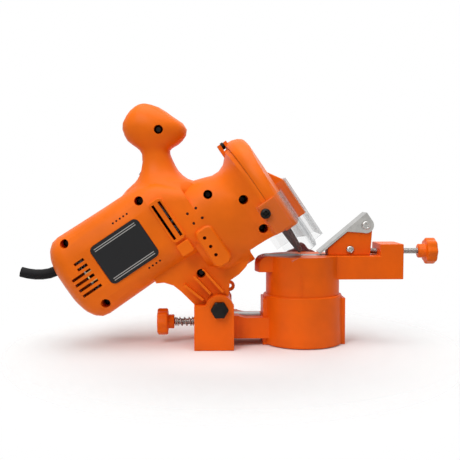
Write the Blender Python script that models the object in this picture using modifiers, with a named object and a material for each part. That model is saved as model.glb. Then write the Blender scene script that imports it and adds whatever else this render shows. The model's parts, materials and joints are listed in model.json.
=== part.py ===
"""Electric chainsaw sharpener: a tilting grinding head over a swivelling chain table.

The origin is on the table's swivel axis at the underside of the base. +X points to the
chain stop, -Y to the front and +Z up. All lengths are in metres. The head is modelled in
its own frame: its origin is the middle of the grinding disc, its X axis runs out along the
spindle and its Z axis lies in the plane of the disc.
"""

import math

import bmesh
import bpy
import numpy as np
from mathutils import Matrix, Vector

# Clearances and counts shared by every piece
GAP = 0.0003
PARTING = 0.0003
OVERRUN = 0.012
MERGE = 0.00001
FLATNESS = math.radians(0.05)
ROUND = 20
FINE_ROUND = 32
EDGE = 0.0015
SMALL_EDGE = 0.0007

# Grinding disc and the lean of the motor axis
TILT = math.radians(34)
DISC_RADIUS = 0.050
DISC_THICKNESS = 0.0032
DISC_BORE_RADIUS = 0.005
DISC_HEADROOM = 0.00165
DISC_FOOT_OFFSET = 0.0019

# Base casting
BLOCK_LEFT = -0.0943
BLOCK_LENGTH = 0.033
BLOCK_DEPTH = 0.070
BLOCK_HEIGHT = 0.0375
CHANNEL_WIDTH = 0.048
CHANNEL_FLOOR = 0.008
END_WALL_HEIGHT = 0.026
END_WALL_THICKNESS = 0.0063
INNER_WALL_THICKNESS = 0.003
EAR_RADIUS = 0.012
PIVOT_X = -0.0733
PIVOT_Z = 0.0343
PIVOT_BOLT_RADIUS = 0.0039
PIVOT_HEAD_RADIUS = 0.0075
PIVOT_HEAD_HEIGHT = 0.0053
PIVOT_NUT_HEIGHT = 0.0065
PIVOT_THREAD_OVERHANG = 0.002
ARM_WIDTH = 0.034
ARM_UNDERSIDE = 0.0063
ARM_TOP_AT_CUP = 0.024
ARM_TOP_AT_BLOCK = 0.029
ARM_POCKET_WIDTH = 0.011
ARM_POCKET_FLOOR = 0.010
ARM_POCKET_RIGHT = -0.0365
BAR_HEIGHT = 0.0156
CUP_RADIUS = 0.0353
CUP_TOP_RADIUS = 0.0346
CUP_HEIGHT = 0.043
CUP_FLOOR = 0.012
CUP_WALL = 0.0023
CUP_RIM_ROUNDING = 0.002
CUP_PAD_WIDTH = 0.026
CUP_PAD_STAND = 0.0003
CUP_PAD_HEIGHT = 0.040
SWIVEL_BOLT_RADIUS = 0.004
SWIVEL_HEAD_RADIUS = 0.0075
SWIVEL_HEAD_HEIGHT = 0.0053
SWIVEL_BOLT_TOP = 0.046

# Depth stop
DEPTH_AXIS_Z = 0.0183
DEPTH_SCREW_RADIUS = 0.0029
DEPTH_SCREW_TIP = -0.0813
DEPTH_KNOB_LEFT = -0.1268
DEPTH_KNOB_THICKNESS = 0.0093
DEPTH_KNOB_RADIUS = 0.0116
DEPTH_HUB_RADIUS = 0.0061
DEPTH_HUB_LENGTH = 0.0053
NUT_RADIUS = 0.0057
NUT_THICKNESS = 0.004
SPRING_WIRE_RADIUS = 0.00045
SPRING_COIL_RADIUS = 0.0037
SPRING_TURNS = 6.5
SPRING_POINTS_A_TURN = 8
KNOB_FLUTES = 8
FLUTE_DEPTH = 0.0009
KNOB_BORE_DEPTH = 0.010

# Swivelling chain table
TABLE_TOP = 0.0765
TABLE_RADIUS = 0.032
TABLE_WALL = 0.0045
TABLE_HUB_RADIUS = 0.012
TABLE_HOLLOW_TOP = 0.056
LIP_LEFT = -0.042
LIP_UNDERSIDE = 0.063
LIP_ROUNDING = 0.007
TABLE_ARM_RIGHT = 0.0852
TABLE_ARM_WIDTH = 0.032
TABLE_ARM_UNDERSIDE = 0.0564
END_BLOCK_LEFT = 0.0651
END_BLOCK_TOP = 0.0868
CHAIN_GAP = 0.0044
JAW_THICKNESS = 0.004
JAW_LEFT = -0.033
JAW_RIGHT = 0.016
JAW_HEIGHT = 0.0122
CHAIN_DEPTH = 0.0105
GUIDE_SLOT_RIGHT = 0.0625
RIB_WIDTH = 0.0012
RIB_STAND = 0.0005
RIB_BOTTOM = 0.0445
RIB_TOP = 0.0615
RIB_TURN = math.radians(-9)
CLAMP_X = 0.004
CLAMP_AXIS_Z = 0.0695
CLAMP_SCREW_RADIUS = 0.0029
CLAMP_KNOB_FRONT = 0.0358
CLAMP_KNOB_THICKNESS = 0.010
CLAMP_KNOB_RADIUS = 0.0148
CLAMP_LOBE_DEPTH = 0.0035
CLAMP_LOBES = 5

# Chain stop on the table arm
CARRIAGE_LEFT = 0.0212
CARRIAGE_RIGHT = 0.0581
CARRIAGE_WIDTH = 0.0156
CARRIAGE_LOW_TOP = 0.0830
CARRIAGE_TONGUE_WIDTH = 0.0036
CARRIAGE_TONGUE_DEPTH = 0.008
EAR_X = 0.054
EAR_Z = 0.1026
STOP_EAR_RADIUS = 0.0061
PAWL_SCREW_RADIUS = 0.002
PAWL_SCREW_HEAD_RADIUS = 0.0043
PAWL_SHEET = 0.0012
PAWL_OFFSET = 0.0070
PAWL_CHEEK_RADIUS = 0.0068
PAWL_SLOPE = math.radians(39.9)
PAWL_REACH = 0.0462
PAWL_TAIL = 0.0075
PAWL_CHEEK_REACH = 0.016
CARRIAGE_SCREW_X = 0.0404
CARRIAGE_SCREW_Z = 0.0813
SMALL_SCREW_RADIUS = 0.0017
SMALL_HEAD_RADIUS = 0.0035
SMALL_HEAD_HEIGHT = 0.0016
SMALL_SCREW_LENGTH = 0.008
STOP_AXIS_Z = 0.0797
STOP_SCREW_RADIUS = 0.0025
STOP_SCREW_SEAT = 0.006
STOP_KNOB_LEFT = 0.1018
STOP_HUB_LENGTH = 0.0061
STOP_HUB_RADIUS = 0.0061
STOP_KNOB_THICKNESS = 0.0091
STOP_KNOB_RADIUS = 0.0115

# Motor case, in the head's frame
CASE_FRONT = -0.055
CASE_LENGTH = 0.1294
CASE_REAR = CASE_FRONT - CASE_LENGTH
CASE_FLOOR = -0.0009
CASE_HEIGHT = 0.0795
CASE_HALF_WIDTH = 0.036
CASE_CAP_DEPTH = 0.020
CASE_WALL = 0.003
CASE_BOXINESS = 3.2
CASE_CAP_POWER = 2.3
CASE_CAP_STEPS = 5
CAVITY_FRONT = -0.073
GEARCASE_REAR = -0.072
FLANGE_FRONT = -0.0035
FLANGE_TOP = 0.0605
FLANGE_HALF_WIDTH = 0.055
GEARCASE_CUT_REAR = -0.0362
HEAD_UNDERSIDE = -0.021
GEARBOX_REAR = -0.063
GEARBOX_FRONT = -0.0455
FLANGE_RECESS_DEPTH = 0.0047
FLANGE_RECESS_RADIUS = 0.0165
GUARD_BOSS_REAR = -0.0126
GUARD_BOSS_TOP = 0.006
GUARD_BOSS_BOTTOM = -0.008
COVER_LUG_REAR = -0.0093
COVER_LUG_THICKNESS = 0.003
COVER_LUG_WIDTH = 0.010
COVER_LUG_TOP = 0.0665

# Motor and gears, in the head's frame
MODULE = 0.00125
PINION_TEETH = 14
GEAR_TEETH = 42
PRESSURE_ANGLE = math.radians(25)
BACKLASH = 0.0003
MOTOR_Z = MODULE * (PINION_TEETH + GEAR_TEETH) / 2
GEAR_REAR = -0.056
GEAR_WIDTH = 0.008
PINION_OVERHANG = 0.001
GEAR_TIP_ROOM = 0.0009
PINION_TIP_ROOM = 0.002
SHAFT_RADIUS = 0.0037
BEARING_BORE_RADIUS = 0.004
BEARING_RADIUS = 0.011
BEARING_WIDTH = 0.007
REAR_BEARING_REAR = -0.1723
FRONT_BEARING_REAR = -0.0715
SPINDLE_BEARING_REAR = -0.034
PEDESTAL_WIDTH = 0.032
PEDESTAL_WALL = 0.0012
STATOR_REAR = -0.136
STATOR_LENGTH = 0.036
STATOR_RADIUS = 0.027
STATOR_BORE_RADIUS = 0.0165
STATOR_RIB_THICKNESS = 0.003
STATOR_RIB_INSET = 0.003
COIL_RADIUS = 0.0205
COIL_TUBE_RADIUS = 0.0033
COIL_SLOT_ROOM = 0.0005
COIL_OVERHANG = 0.004
COIL_HALF_ANGLE = math.radians(45)
CORE_REAR = -0.135
CORE_LENGTH = 0.034
CORE_RADIUS = 0.0157
CORE_SLOTS = 12
CORE_SLOT_DEPTH = 0.006
COMMUTATOR_REAR = -0.161
COMMUTATOR_LENGTH = 0.012
COMMUTATOR_RADIUS = 0.011
COMMUTATOR_RISER = 0.0015
BRUSH_LENGTH = 0.013
BRUSH_WIDTH = 0.005
BRUSH_HEIGHT = 0.006
HOLDER_WALL = 0.0012
HOLDER_INNER = 0.014
HOLDER_OUTER = 0.0326
FAN_REAR = -0.087
FAN_LENGTH = 0.008
FAN_RADIUS = 0.022
FAN_PLATE = 0.0014
FAN_HUB_RADIUS = 0.0075
FAN_BLADES = 9
FAN_BLADE_THICKNESS = 0.0012
SHAFT_REAR = -0.1742

# Spindle, flanges and nut, in the head's frame
SPINDLE_RADIUS = 0.0047
SPINDLE_FRONT = 0.0135
SPINDLE_HOLE_ROOM = 0.0015
INNER_FLANGE_DEPTH = 0.0057
INNER_FLANGE_RADIUS = 0.015
INNER_FLANGE_HUB_RADIUS = 0.009
INNER_FLANGE_PLATE = 0.0025
OUTER_FLANGE_RADIUS = 0.013
OUTER_FLANGE_THICKNESS = 0.0035
SPINDLE_NUT_RADIUS = 0.0098
SPINDLE_NUT_HEIGHT = 0.006

# Wheel cover, in the head's frame
COVER_FRONT = 0.0122
COVER_TOP = 0.0645
COVER_HALF_WIDTH = 0.0565
COVER_WALL = 0.0025
COVER_UNDERSIDE = -0.022
COVER_FLAT_HALF = 0.027
COVER_BOXINESS = 2.2
BULGE_FRONT = 0.021
BULGE_TOP = 0.026
BULGE_FACE_TOP = 0.012
BULGE_HALF_WIDTH = 0.0195
CHEEK_REAR = -0.0117
CHEEK_FRONT = 0.0036
CHEEK_TOP = 0.007
CHEEK_BOTTOM = -0.020
CHEEK_OUTER = 0.0578
CHEEK_INNER = 0.0495

# Clear guard, in the head's frame: outer corners of one side, front to middle
GUARD_WALL = 0.0016
GUARD_REAR = -0.0137
GUARD_SIDE_FRONT = 0.0045
GUARD_HALF_WIDTH = 0.0602
GUARD_BEVEL_FRONT = 0.0104
GUARD_BEVEL_HALF = 0.0542
GUARD_BOX_FOOT = 0.0143
GUARD_BOX_FOOT_HALF = 0.0276
GUARD_BOX_FRONT = 0.023
GUARD_BOX_HALF = 0.022
GUARD_TOP = 0.0123
GUARD_SIDE_TOP = 0.0075
GUARD_BOTTOM = -0.0444
GUARD_SCREW_X = -0.0097
GUARD_SCREW_Z = -0.0007
GUARD_SCREW_RADIUS = 0.002
GUARD_SCREW_HEAD_RADIUS = 0.0041
GUARD_SCREW_HEAD_HEIGHT = 0.0024
GUARD_SCREW_LENGTH = 0.011

# Handle, in an upright frame whose origin is on the head's pivot
KNOB_TOP = 0.1730
HANDLE_HEIGHT = 0.0820
HANDLE_CENTRE_X = -0.0520
KNOB_LENGTH = 0.0530
KNOB_WIDTH = 0.0360
HANDLE_BOXINESS = 2.3

# Pivot leg, in the same upright frame
LEG_HALF_WIDTH = 0.0235
LEG_REACH = 0.050
PIVOT_BOSS_RADIUS = 0.011
HEEL_LEFT = -0.0077
HEEL_RIGHT = 0.0023
HEEL_BOTTOM = -0.0213
GUSSET_THICKNESS = 0.002
GUSSET_HALF_WIDTH = 0.033
GUSSET_BASE_RISE = 0.008
EYELET_X = 0.0094
EYELET_Z = 0.0153
EYELET_RADIUS = 0.0046
EYELET_HOLE_RADIUS = 0.0019
EYELET_HALF_WIDTH = 0.002

# Case screws, vents and small recesses, in the head's frame
SCREW_RADIUS = 0.00175
SCREW_HEAD_RADIUS = 0.0035
SCREW_HEAD_HEIGHT = 0.003
SCREW_SEAT = 0.012
SCREW_REACH = 0.010
RECESS_RADIUS = 0.0039
BOSS_RADIUS = 0.0058
PILOT_ROOM = 0.0003
PAN_SHARE = 0.6
VENT_HEIGHT = 0.0024
VENT_FRONT = -0.1526
LONG_VENT_REAR = -0.171
SHORT_VENT_REAR = -0.162
SLOT_WIDTH = 0.0024
SLOT_BOTTOM = 0.0215
SLOT_TOP = 0.0548
FIRST_SLOT_X = -0.0817
SECOND_SLOT_X = -0.0755
SLOT_FRAME_MARGIN = 0.003
SLOT_FRAME_FACE = 0.0368
TAB_REAR = -0.0845
TAB_FRONT = -0.0730
TAB_BOTTOM = 0.0055
TAB_TOP = 0.0165
TAB_FACE = 0.0364
PLATE_REAR = -0.1455
PLATE_FRONT = -0.0978
PLATE_BOTTOM = 0.018
PLATE_TOP = 0.055
PLATE_FACE = 0.0346
PLATE_ROUNDING = 0.005
RIDGE_REAR = -0.067
RIDGE_FRONT = -0.051
RIDGE_BOTTOM = -0.019
RIDGE_TOP = 0.017
RIDGE_FACE = 0.0372
GREASE_HOLE_RADIUS = 0.0016
GREASE_HOLE_DEPTH = 0.003

# Switch, in a frame that leans with the rear of the handle's neck
SWITCH_X = -0.0648
SWITCH_Z = 0.1157
SWITCH_LEAN = math.radians(200)
SWITCH_LENGTH = 0.0136
SWITCH_WIDTH = 0.0094
SWITCH_DEPTH = 0.011
BEZEL_MARGIN = 0.0008
BEZEL_THICKNESS = 0.0012
ROCKER_LENGTH = 0.0112
ROCKER_WIDTH = 0.0068
ROCKER_DEPTH = 0.0035
ROCKER_RISE = 0.0024
ROCKER_ROOM = 0.0022

# Strain relief sleeve: its start lies in the head's frame, its route in the upright one
SLEEVE_LENGTH = 0.0362
SLEEVE_INSET = 0.0066
SLEEVE_HEIGHT_SHARE = 0.7094
SLEEVE_RADIUS = 0.0045
SLEEVE_BORE_RADIUS = 0.0027
SLEEVE_BORE_DEPTH = 0.009

# Measures that follow from the sizes above
SPINDLE_X = -DISC_FOOT_OFFSET - DISC_RADIUS * math.sin(TILT)
SPINDLE_Z = (
    TABLE_TOP
    + DISC_HEADROOM
    + DISC_RADIUS * math.cos(TILT)
    + DISC_THICKNESS / 2 * math.sin(TILT)
)
BLOCK_RIGHT = BLOCK_LEFT + BLOCK_LENGTH
AXIAL = (0, math.radians(90), 0)
TOWARDS_FRONT = (math.radians(90), 0, 0)
TOWARDS_BACK = (math.radians(-90), 0, 0)

# Table of case sections: along, top, bottom and half width, as shares of the case
CASE_SHARES = (
    (0.155, 1.0, 0.0, 1.0),
    (0.50, 0.985, 0.01, 1.0),
    (0.77, 0.98, 0.01, 1.0),
    (0.88, 0.92, -0.02, 0.97),
    (1.0, 0.76, -0.05, 0.90),
)

# Table of gear case sections: along, top, bottom, half width and boxiness, as shares
# of the length, the flange's top, the flange's top again and its half width
GEARCASE_SHARES = (
    (0.0, 0.90, -0.37, 0.55, 2.6),
    (0.18, 0.92, -0.54, 0.62, 2.6),
    (0.40, 0.90, -0.54, 0.66, 2.5),
    (0.55, 0.845, -0.54, 0.69, 2.5),
    (0.66, 0.80, -0.54, 0.73, 2.4),
    (0.76, 0.797, -0.56, 0.78, 2.4),
    (0.85, 0.84, -0.65, 0.86, 2.3),
    (0.92, 0.92, -0.85, 0.94, 2.2),
    (0.95, 0.985, -1.0, 0.99, 2.2),
    (1.0, 1.0, -1.0, 1.0, 2.2),
)

# Table of cover rings: along from the parting face, and size, as shares of the cover
COVER_RING_SHARES = (
    (0.0, 0.97),
    (0.20, 1.0),
    (0.47, 0.995),
    (0.76, 0.972),
    (0.93, 0.945),
    (1.0, 0.92),
)

# Table of handle sections from the top: fall, left edge and right edge as shares of
# the knob's length from the handle's centre, and half width as a share of its width
HANDLE_SHARES = (
    (0.003, -0.270, -0.180, 0.08),
    (0.015, -0.330, -0.100, 0.17),
    (0.042, -0.395, 0.020, 0.28),
    (0.085, -0.470, 0.130, 0.37),
    (0.130, -0.520, 0.225, 0.43),
    (0.205, -0.578, 0.400, 0.49),
    (0.270, -0.582, 0.465, 0.50),
    (0.335, -0.548, 0.450, 0.47),
    (0.390, -0.500, 0.392, 0.43),
    (0.430, -0.425, 0.325, 0.39),
    (0.463, -0.350, 0.235, 0.36),
    (0.492, -0.300, 0.190, 0.34),
    (0.530, -0.268, 0.195, 0.33),
    (0.595, -0.264, 0.237, 0.34),
    (0.650, -0.277, 0.278, 0.36),
    (0.705, -0.292, 0.330, 0.40),
    (0.752, -0.320, 0.402, 0.46),
    (0.787, -0.340, 0.480, 0.52),
    (0.812, -0.368, 0.600, 0.57),
    (0.832, -0.395, 0.690, 0.61),
    (0.905, -0.520, 0.740, 0.70),
    (1.0, -0.640, 0.740, 0.75),
)

# Leg outline about the pivot, as shares of its reach, up the left side and down the right
LEG_LEFT_SHARES = (
    (-0.154, -0.240),
    (-0.220, -0.150),
    (-0.380, 0.010),
    (-0.502, 0.132),
    (-0.634, 0.264),
    (-0.766, 0.372),
    (-0.926, 0.422),
    (-1.058, 0.410),
    (-1.198, 0.724),
    (-0.800, 1.100),
    (0.368, 1.176),
)
LEG_RIGHT_SHARES = (
    (0.518, 1.002),
    (0.534, 0.880),
    (0.456, 0.690),
    (0.334, 0.558),
    (0.178, 0.452),
    (0.160, 0.236),
)

# Gussets between the case and the leg: upper and lower ends, as shares of the reach
GUSSET_SHARES = (
    ((-0.456, 0.300), (-0.270, 0.150)),
    ((-0.306, 0.420), (-0.150, 0.255)),
    ((-0.172, 0.540), (0.060, 0.285)),
)

# Sleeve route from its start in the case's wall, as shares of the sleeve's length
SLEEVE_SHARES = (
    (0.0, 0.0),
    (-0.166, -0.110),
    (-0.326, -0.170),
    (-0.497, -0.195),
    (-0.663, -0.195),
    (-0.829, -0.173),
    (-1.0, -0.131),
)

# Places of the eight case screws in the head's frame, as shares of the case's length
# and of its height
CASE_SCREW_SHARES = (
    (-1.236, 0.874),
    (-0.688, 0.811),
    (-1.233, 0.122),
    (-0.624, -0.186),
    (-0.301, 0.466),
    (-0.134, 0.220),
    (-0.130, -0.142),
    (-0.330, 1.325),
)

# Rear vents: height above the case floor as a share of its height, and whether long
REAR_VENT_SHARES = (
    (0.322, True),
    (0.388, True),
    (0.452, True),
    (0.515, True),
    (0.578, False),
    (0.642, False),
)

# Small holes over the gears: places in the gear case, as shares of its flange
GREASE_HOLE_SHARES = (
    (-1.016, 0.547),
    (-0.873, 0.542),
    (-0.873, 0.380),
    (-1.014, 0.386),
    (-1.010, 0.149),
    (-1.006, 0.007),
    (-1.010, -0.126),
)


def clear_scene():
    """Remove whatever the file holds."""
    for thing in list(bpy.data.objects):
        bpy.data.objects.remove(thing, do_unlink=True)


def new_collection(name):
    """Make a collection and link it to the scene."""
    group = bpy.data.collections.new(name)
    bpy.context.scene.collection.children.link(group)
    return group


clear_scene()
PARTS = new_collection("electric_chainsaw_sharpener")
CUTTERS = new_collection("cutters")


def finish(name, colour, roughness, metallic=0.0, alpha=1.0):
    """Make one Principled material."""
    material = bpy.data.materials.new(name)
    material.use_nodes = True
    shader = material.node_tree.nodes["Principled BSDF"]
    shader.inputs["Base Color"].default_value = (*colour, 1.0)
    shader.inputs["Roughness"].default_value = roughness
    shader.inputs["Metallic"].default_value = metallic
    shader.inputs["Alpha"].default_value = alpha
    return material


FINISHES = {
    "orange_plastic": ((0.86, 0.19, 0.02), 0.35),
    "orange_paint": ((0.80, 0.16, 0.01), 0.40),
    "black_plastic": ((0.02, 0.02, 0.02), 0.45),
    "dark_red_plastic": ((0.10, 0.015, 0.01), 0.45),
    "rubber": ((0.02, 0.02, 0.02), 0.85),
    "steel": ((0.55, 0.55, 0.54), 0.35, 1.0),
    "dark_steel": ((0.05, 0.05, 0.05), 0.40, 1.0),
    "copper": ((0.70, 0.28, 0.12), 0.40, 1.0),
    "brass": ((0.75, 0.55, 0.22), 0.35, 1.0),
    "abrasive": ((0.04, 0.03, 0.03), 0.95),
    "carbon": ((0.03, 0.03, 0.03), 0.70),
    "clear_plastic": ((0.80, 0.82, 0.84), 0.08, 0.0, 0.30),
}


def frame_empty(name, place, parent=None, turn=0.0):
    """Make an empty that carries pieces, turned about the Y axis."""
    empty = bpy.data.objects.new(name, None)
    CUTTERS.objects.link(empty)
    empty.parent = parent
    empty.location = place
    empty.rotation_euler = (0, turn, 0)
    return empty


PIVOT = frame_empty("pivot_axis", (PIVOT_X, 0, PIVOT_Z))
HEAD = frame_empty("head_frame", (SPINDLE_X - PIVOT_X, 0, SPINDLE_Z - PIVOT_Z), PIVOT, -TILT)
MOTOR = frame_empty("motor_axis", (0, 0, MOTOR_Z), HEAD)
SWITCH = frame_empty("switch_frame", (SWITCH_X, 0, SWITCH_Z), PIVOT, SWITCH_LEAN)
DEPTH = frame_empty("depth_axis", (0, 0, DEPTH_AXIS_Z))
TABLE = frame_empty("swivel_axis", (0, 0, 0))
CLAMP = frame_empty("clamp_axis", (CLAMP_X, 0, CLAMP_AXIS_Z), TABLE)
STOP = frame_empty("stop_axis", (0, 0, STOP_AXIS_Z), TABLE)
PAWL = frame_empty("pawl_axis", (EAR_X, 0, EAR_Z), TABLE)


def to_mesh(shape, name="shape"):
    """Turn a bmesh into mesh data."""
    mesh = bpy.data.meshes.new(name)
    shape.to_mesh(mesh)
    shape.free()
    return mesh


def place(name, mesh, parent, group, turn=(0, 0, 0), spot=(0, 0, 0)):
    """Put mesh data into the scene as an object."""
    thing = bpy.data.objects.new(name, mesh)
    group.objects.link(thing)
    thing.parent = parent
    thing.rotation_euler = turn
    thing.location = spot
    return thing


def piece(name, mesh, colour, parent=None, turn=(0, 0, 0), spot=(0, 0, 0)):
    """Make one sub-part with its own material."""
    thing = place(name, mesh, parent, PARTS, turn, spot)
    thing.data.materials.append(finish(name, *FINISHES[colour]))
    return thing


def tool(name, mesh, parent=None, turn=(0, 0, 0), spot=(0, 0, 0)):
    """Make a shape that only cuts or joins."""
    thing = place(name, mesh, parent, CUTTERS, turn, spot)
    thing.hide_render = True
    thing.display_type = "WIRE"
    return thing


def combine(target, helper, operation):
    """Add one Boolean step to the target."""
    step = target.modifiers.new(helper.name[:40], "BOOLEAN")
    step.operation = operation
    step.solver = "EXACT"
    step.object = helper
    return target


def cut(target, *helpers):
    """Take the helpers away from the target."""
    for helper in helpers:
        combine(target, helper, "DIFFERENCE")
    return target


def join(target, *helpers):
    """Unite the helpers with the target."""
    for helper in helpers:
        combine(target, helper, "UNION")
    return target


def soften(thing, width, segments=2):
    """Round the sharp edges."""
    bevel = thing.modifiers.new("rounding", "BEVEL")
    bevel.width = width
    bevel.segments = segments
    bevel.limit_method = "ANGLE"
    return thing


def box(low, high):
    """Box between two corners."""
    shape = bmesh.new()
    bmesh.ops.create_cube(shape, size=1)
    low, high = Vector(low), Vector(high)
    bmesh.ops.scale(shape, vec=high - low, verts=shape.verts)
    bmesh.ops.translate(shape, vec=(high + low) / 2, verts=shape.verts)
    return to_mesh(shape)


def rod(start, end, radius, end_radius=None, sides=ROUND):
    """Cylinder or cone between two points."""
    start, end = Vector(start), Vector(end)
    shape = bmesh.new()
    bmesh.ops.create_cone(
        shape,
        cap_ends=True,
        segments=sides,
        radius1=radius,
        radius2=radius if end_radius is None else end_radius,
        depth=(end - start).length,
    )
    turn = (end - start).to_track_quat("Z", "Y").to_matrix().to_4x4()
    bmesh.ops.transform(shape, matrix=Matrix.Translation((start + end) / 2) @ turn, verts=shape.verts)
    mesh = to_mesh(shape)
    smooth(mesh)
    return mesh


def smooth(mesh, angle=math.radians(35)):
    """Shade round faces smooth and keep sharp edges sharp."""
    mesh.shade_smooth()
    mesh.set_sharp_from_angle(angle=angle)


def across(radius, x, z, low, high, sides=ROUND):
    """Cylinder along Y at a place in the XZ plane."""
    return rod((x, low, z), (x, high, z), radius, sides=sides)


def along(radius, z, low, high, sides=ROUND):
    """Cylinder along X at a height."""
    return rod((low, 0, z), (high, 0, z), radius, sides=sides)


def turned(thing, profile, closed=True, steps=ROUND):
    """Turn a profile of (radius, height) points, top to bottom on its outer side."""
    count = len(profile)
    edges = [(index, index + 1) for index in range(count - 1)]
    if closed:
        edges.append((count - 1, 0))
    thing.data.from_pydata([(radius, 0, height) for radius, height in profile], edges, [])
    screw = thing.modifiers.new("turn", "SCREW")
    screw.steps = steps
    screw.render_steps = steps
    screw.use_merge_vertices = True
    screw.merge_threshold = MERGE
    return thing


def ring_profile(inner, outer, low, high):
    """Closed profile of a plain ring."""
    return ((outer, high), (outer, low), (inner, low), (inner, high))


def slab(loops, low, high, plane="XZ"):
    """Flat outline, filled and extruded; further loops are holes.

    The outline stands in the XZ plane and reaches along Y, lies in the XY plane and
    reaches along Z, or stands in the YZ plane and reaches along X.
    """
    curve = bpy.data.curves.new("outline", "CURVE")
    curve.dimensions = "2D"
    curve.fill_mode = "BOTH"
    curve.extrude = (high - low) / 2
    for loop in loops:
        spline = curve.splines.new("POLY")
        spline.points.add(len(loop) - 1)
        for point, (across_share, up_share) in zip(spline.points, loop):
            point.co = (across_share, up_share, 0, 1)
        spline.use_cyclic_u = True
    thing = bpy.data.objects.new("outline", curve)
    bpy.context.scene.collection.objects.link(thing)
    mesh = mesh_from(thing)
    turns = {
        "XZ": Matrix.Rotation(math.radians(90), 4, "X"),
        "XY": Matrix.Identity(4),
        "YZ": Matrix(((0, 0, 1, 0), (1, 0, 0, 0), (0, 1, 0, 0), (0, 0, 0, 1))),
    }
    shifts = {"XZ": (0, (low + high) / 2, 0), "XY": (0, 0, (low + high) / 2), "YZ": ((low + high) / 2, 0, 0)}
    mesh.transform(Matrix.Translation(shifts[plane]) @ turns[plane])
    return mesh


def mesh_from(thing):
    """Evaluate a curve object into a welded mesh and remove the curve."""
    graph = bpy.context.evaluated_depsgraph_get()
    graph.update()
    raw = bpy.data.meshes.new_from_object(thing.evaluated_get(graph))
    bpy.data.objects.remove(thing, do_unlink=True)
    shape = bmesh.new()
    shape.from_mesh(raw)
    bmesh.ops.remove_doubles(shape, verts=shape.verts, dist=MERGE)
    bmesh.ops.dissolve_limit(shape, angle_limit=FLATNESS, verts=shape.verts, edges=shape.edges)
    bmesh.ops.recalc_face_normals(shape, faces=shape.faces)
    return to_mesh(shape)


def tube(points, radius, closed=False, resolution=2):
    """Round tube through points, as a welded mesh."""
    curve = bpy.data.curves.new("tube", "CURVE")
    curve.dimensions = "3D"
    curve.bevel_depth = radius
    curve.bevel_resolution = resolution
    curve.use_fill_caps = not closed
    spline = curve.splines.new("POLY")
    spline.points.add(len(points) - 1)
    for point, place_on in zip(spline.points, points):
        point.co = (*place_on, 1)
    spline.use_cyclic_u = closed
    thing = bpy.data.objects.new("tube", curve)
    bpy.context.scene.collection.objects.link(thing)
    mesh = mesh_from(thing)
    smooth(mesh, math.radians(50))
    return mesh


def loft(rings):
    """Skin over rings of equal counts, capped at both ends."""
    shape = bmesh.new()
    rows = [[shape.verts.new(point) for point in ring] for ring in rings]
    count = len(rows[0])
    for first, second in zip(rows, rows[1:]):
        for index in range(count):
            after = (index + 1) % count
            shape.faces.new((first[index], first[after], second[after], second[index]))
    shape.faces.new(rows[0])
    shape.faces.new(rows[-1])
    bmesh.ops.recalc_face_normals(shape, faces=shape.faces)
    mesh = to_mesh(shape)
    smooth(mesh, math.radians(50))
    return mesh


def oval(half_wide, half_high, boxiness, count):
    """Points of a superellipse, as pairs."""
    points = []
    for index in range(count):
        angle = math.tau * index / count
        wide = math.copysign(abs(math.cos(angle)) ** (2 / boxiness), math.cos(angle))
        high = math.copysign(abs(math.sin(angle)) ** (2 / boxiness), math.sin(angle))
        points.append((half_wide * wide, half_high * high))
    return points


def section(x, top, bottom, half_width, boxiness=2.4, count=24):
    """Ring across the head's axis."""
    middle = (top + bottom) / 2
    return [
        (x, wide, middle + high)
        for wide, high in oval(half_width, (top - bottom) / 2, boxiness, count)
    ]


def polygon(radius, sides, start=0.0):
    """Corners of a regular polygon."""
    return [
        (radius * math.cos(start + math.tau * k / sides), radius * math.sin(start + math.tau * k / sides))
        for k in range(sides)
    ]


def fluted(radius, depth, flutes, samples=6):
    """Outline of a knob with shallow flutes; a lobe points up."""
    points = []
    for index in range(flutes * samples):
        angle = math.tau * index / (flutes * samples)
        reach = radius - depth * (1 - math.cos(flutes * angle)) / 2
        points.append((reach * math.sin(angle), reach * math.cos(angle)))
    return points


def rounded_rectangle(left, right, low, high, radius, steps=3):
    """Rectangle with round corners."""
    points = []
    corners = (
        (right - radius, low + radius, -90),
        (right - radius, high - radius, 0),
        (left + radius, high - radius, 90),
        (left + radius, low + radius, 180),
    )
    for x, z, start in corners:
        for step in range(steps + 1):
            angle = math.radians(start + 90 * step / steps)
            points.append((x + radius * math.cos(angle), z + radius * math.sin(angle)))
    return points


def arc(x, z, radius, start, end, steps):
    """Points along an arc, angles in degrees."""
    return [
        (
            x + radius * math.cos(math.radians(start + (end - start) * k / steps)),
            z + radius * math.sin(math.radians(start + (end - start) * k / steps)),
        )
        for k in range(steps + 1)
    ]


def tooth_outline(teeth, middle_angle):
    """Involute spur gear outline with a tooth centred on an angle."""
    pitch = MODULE * teeth / 2
    base = pitch * math.cos(PRESSURE_ANGLE)
    tip = pitch + MODULE
    root = pitch - MODULE * 1.25
    lowest = max(base, root)
    involute_at_pitch = math.tan(PRESSURE_ANGLE) - PRESSURE_ANGLE
    half_tooth = math.pi / (2 * teeth) - BACKLASH / (4 * pitch)
    points = []
    for tooth in range(teeth):
        centre = middle_angle + math.tau * tooth / teeth
        flank = []
        for radius in np.linspace(lowest, tip, 3):
            roll = math.acos(min(1.0, base / radius))
            half = half_tooth + involute_at_pitch - (math.tan(roll) - roll)
            flank.append((radius, half))
        sides = [(root, flank[0][1])] if root < lowest else []
        sides += flank
        for radius, half in sides:
            points.append((radius * math.cos(centre - half), radius * math.sin(centre - half)))
        for radius, half in reversed(sides):
            points.append((radius * math.cos(centre + half), radius * math.sin(centre + half)))
    return points


def make_hex(name, colour, parent, radius, low, high, bore, plane, spot=(0, 0, 0)):
    """Hexagon nut with a round bore."""
    mesh = slab([polygon(radius, 6, math.radians(90)), polygon(bore, ROUND)], low, high, plane)
    return piece(name, mesh, colour, parent, spot=spot)


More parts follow.
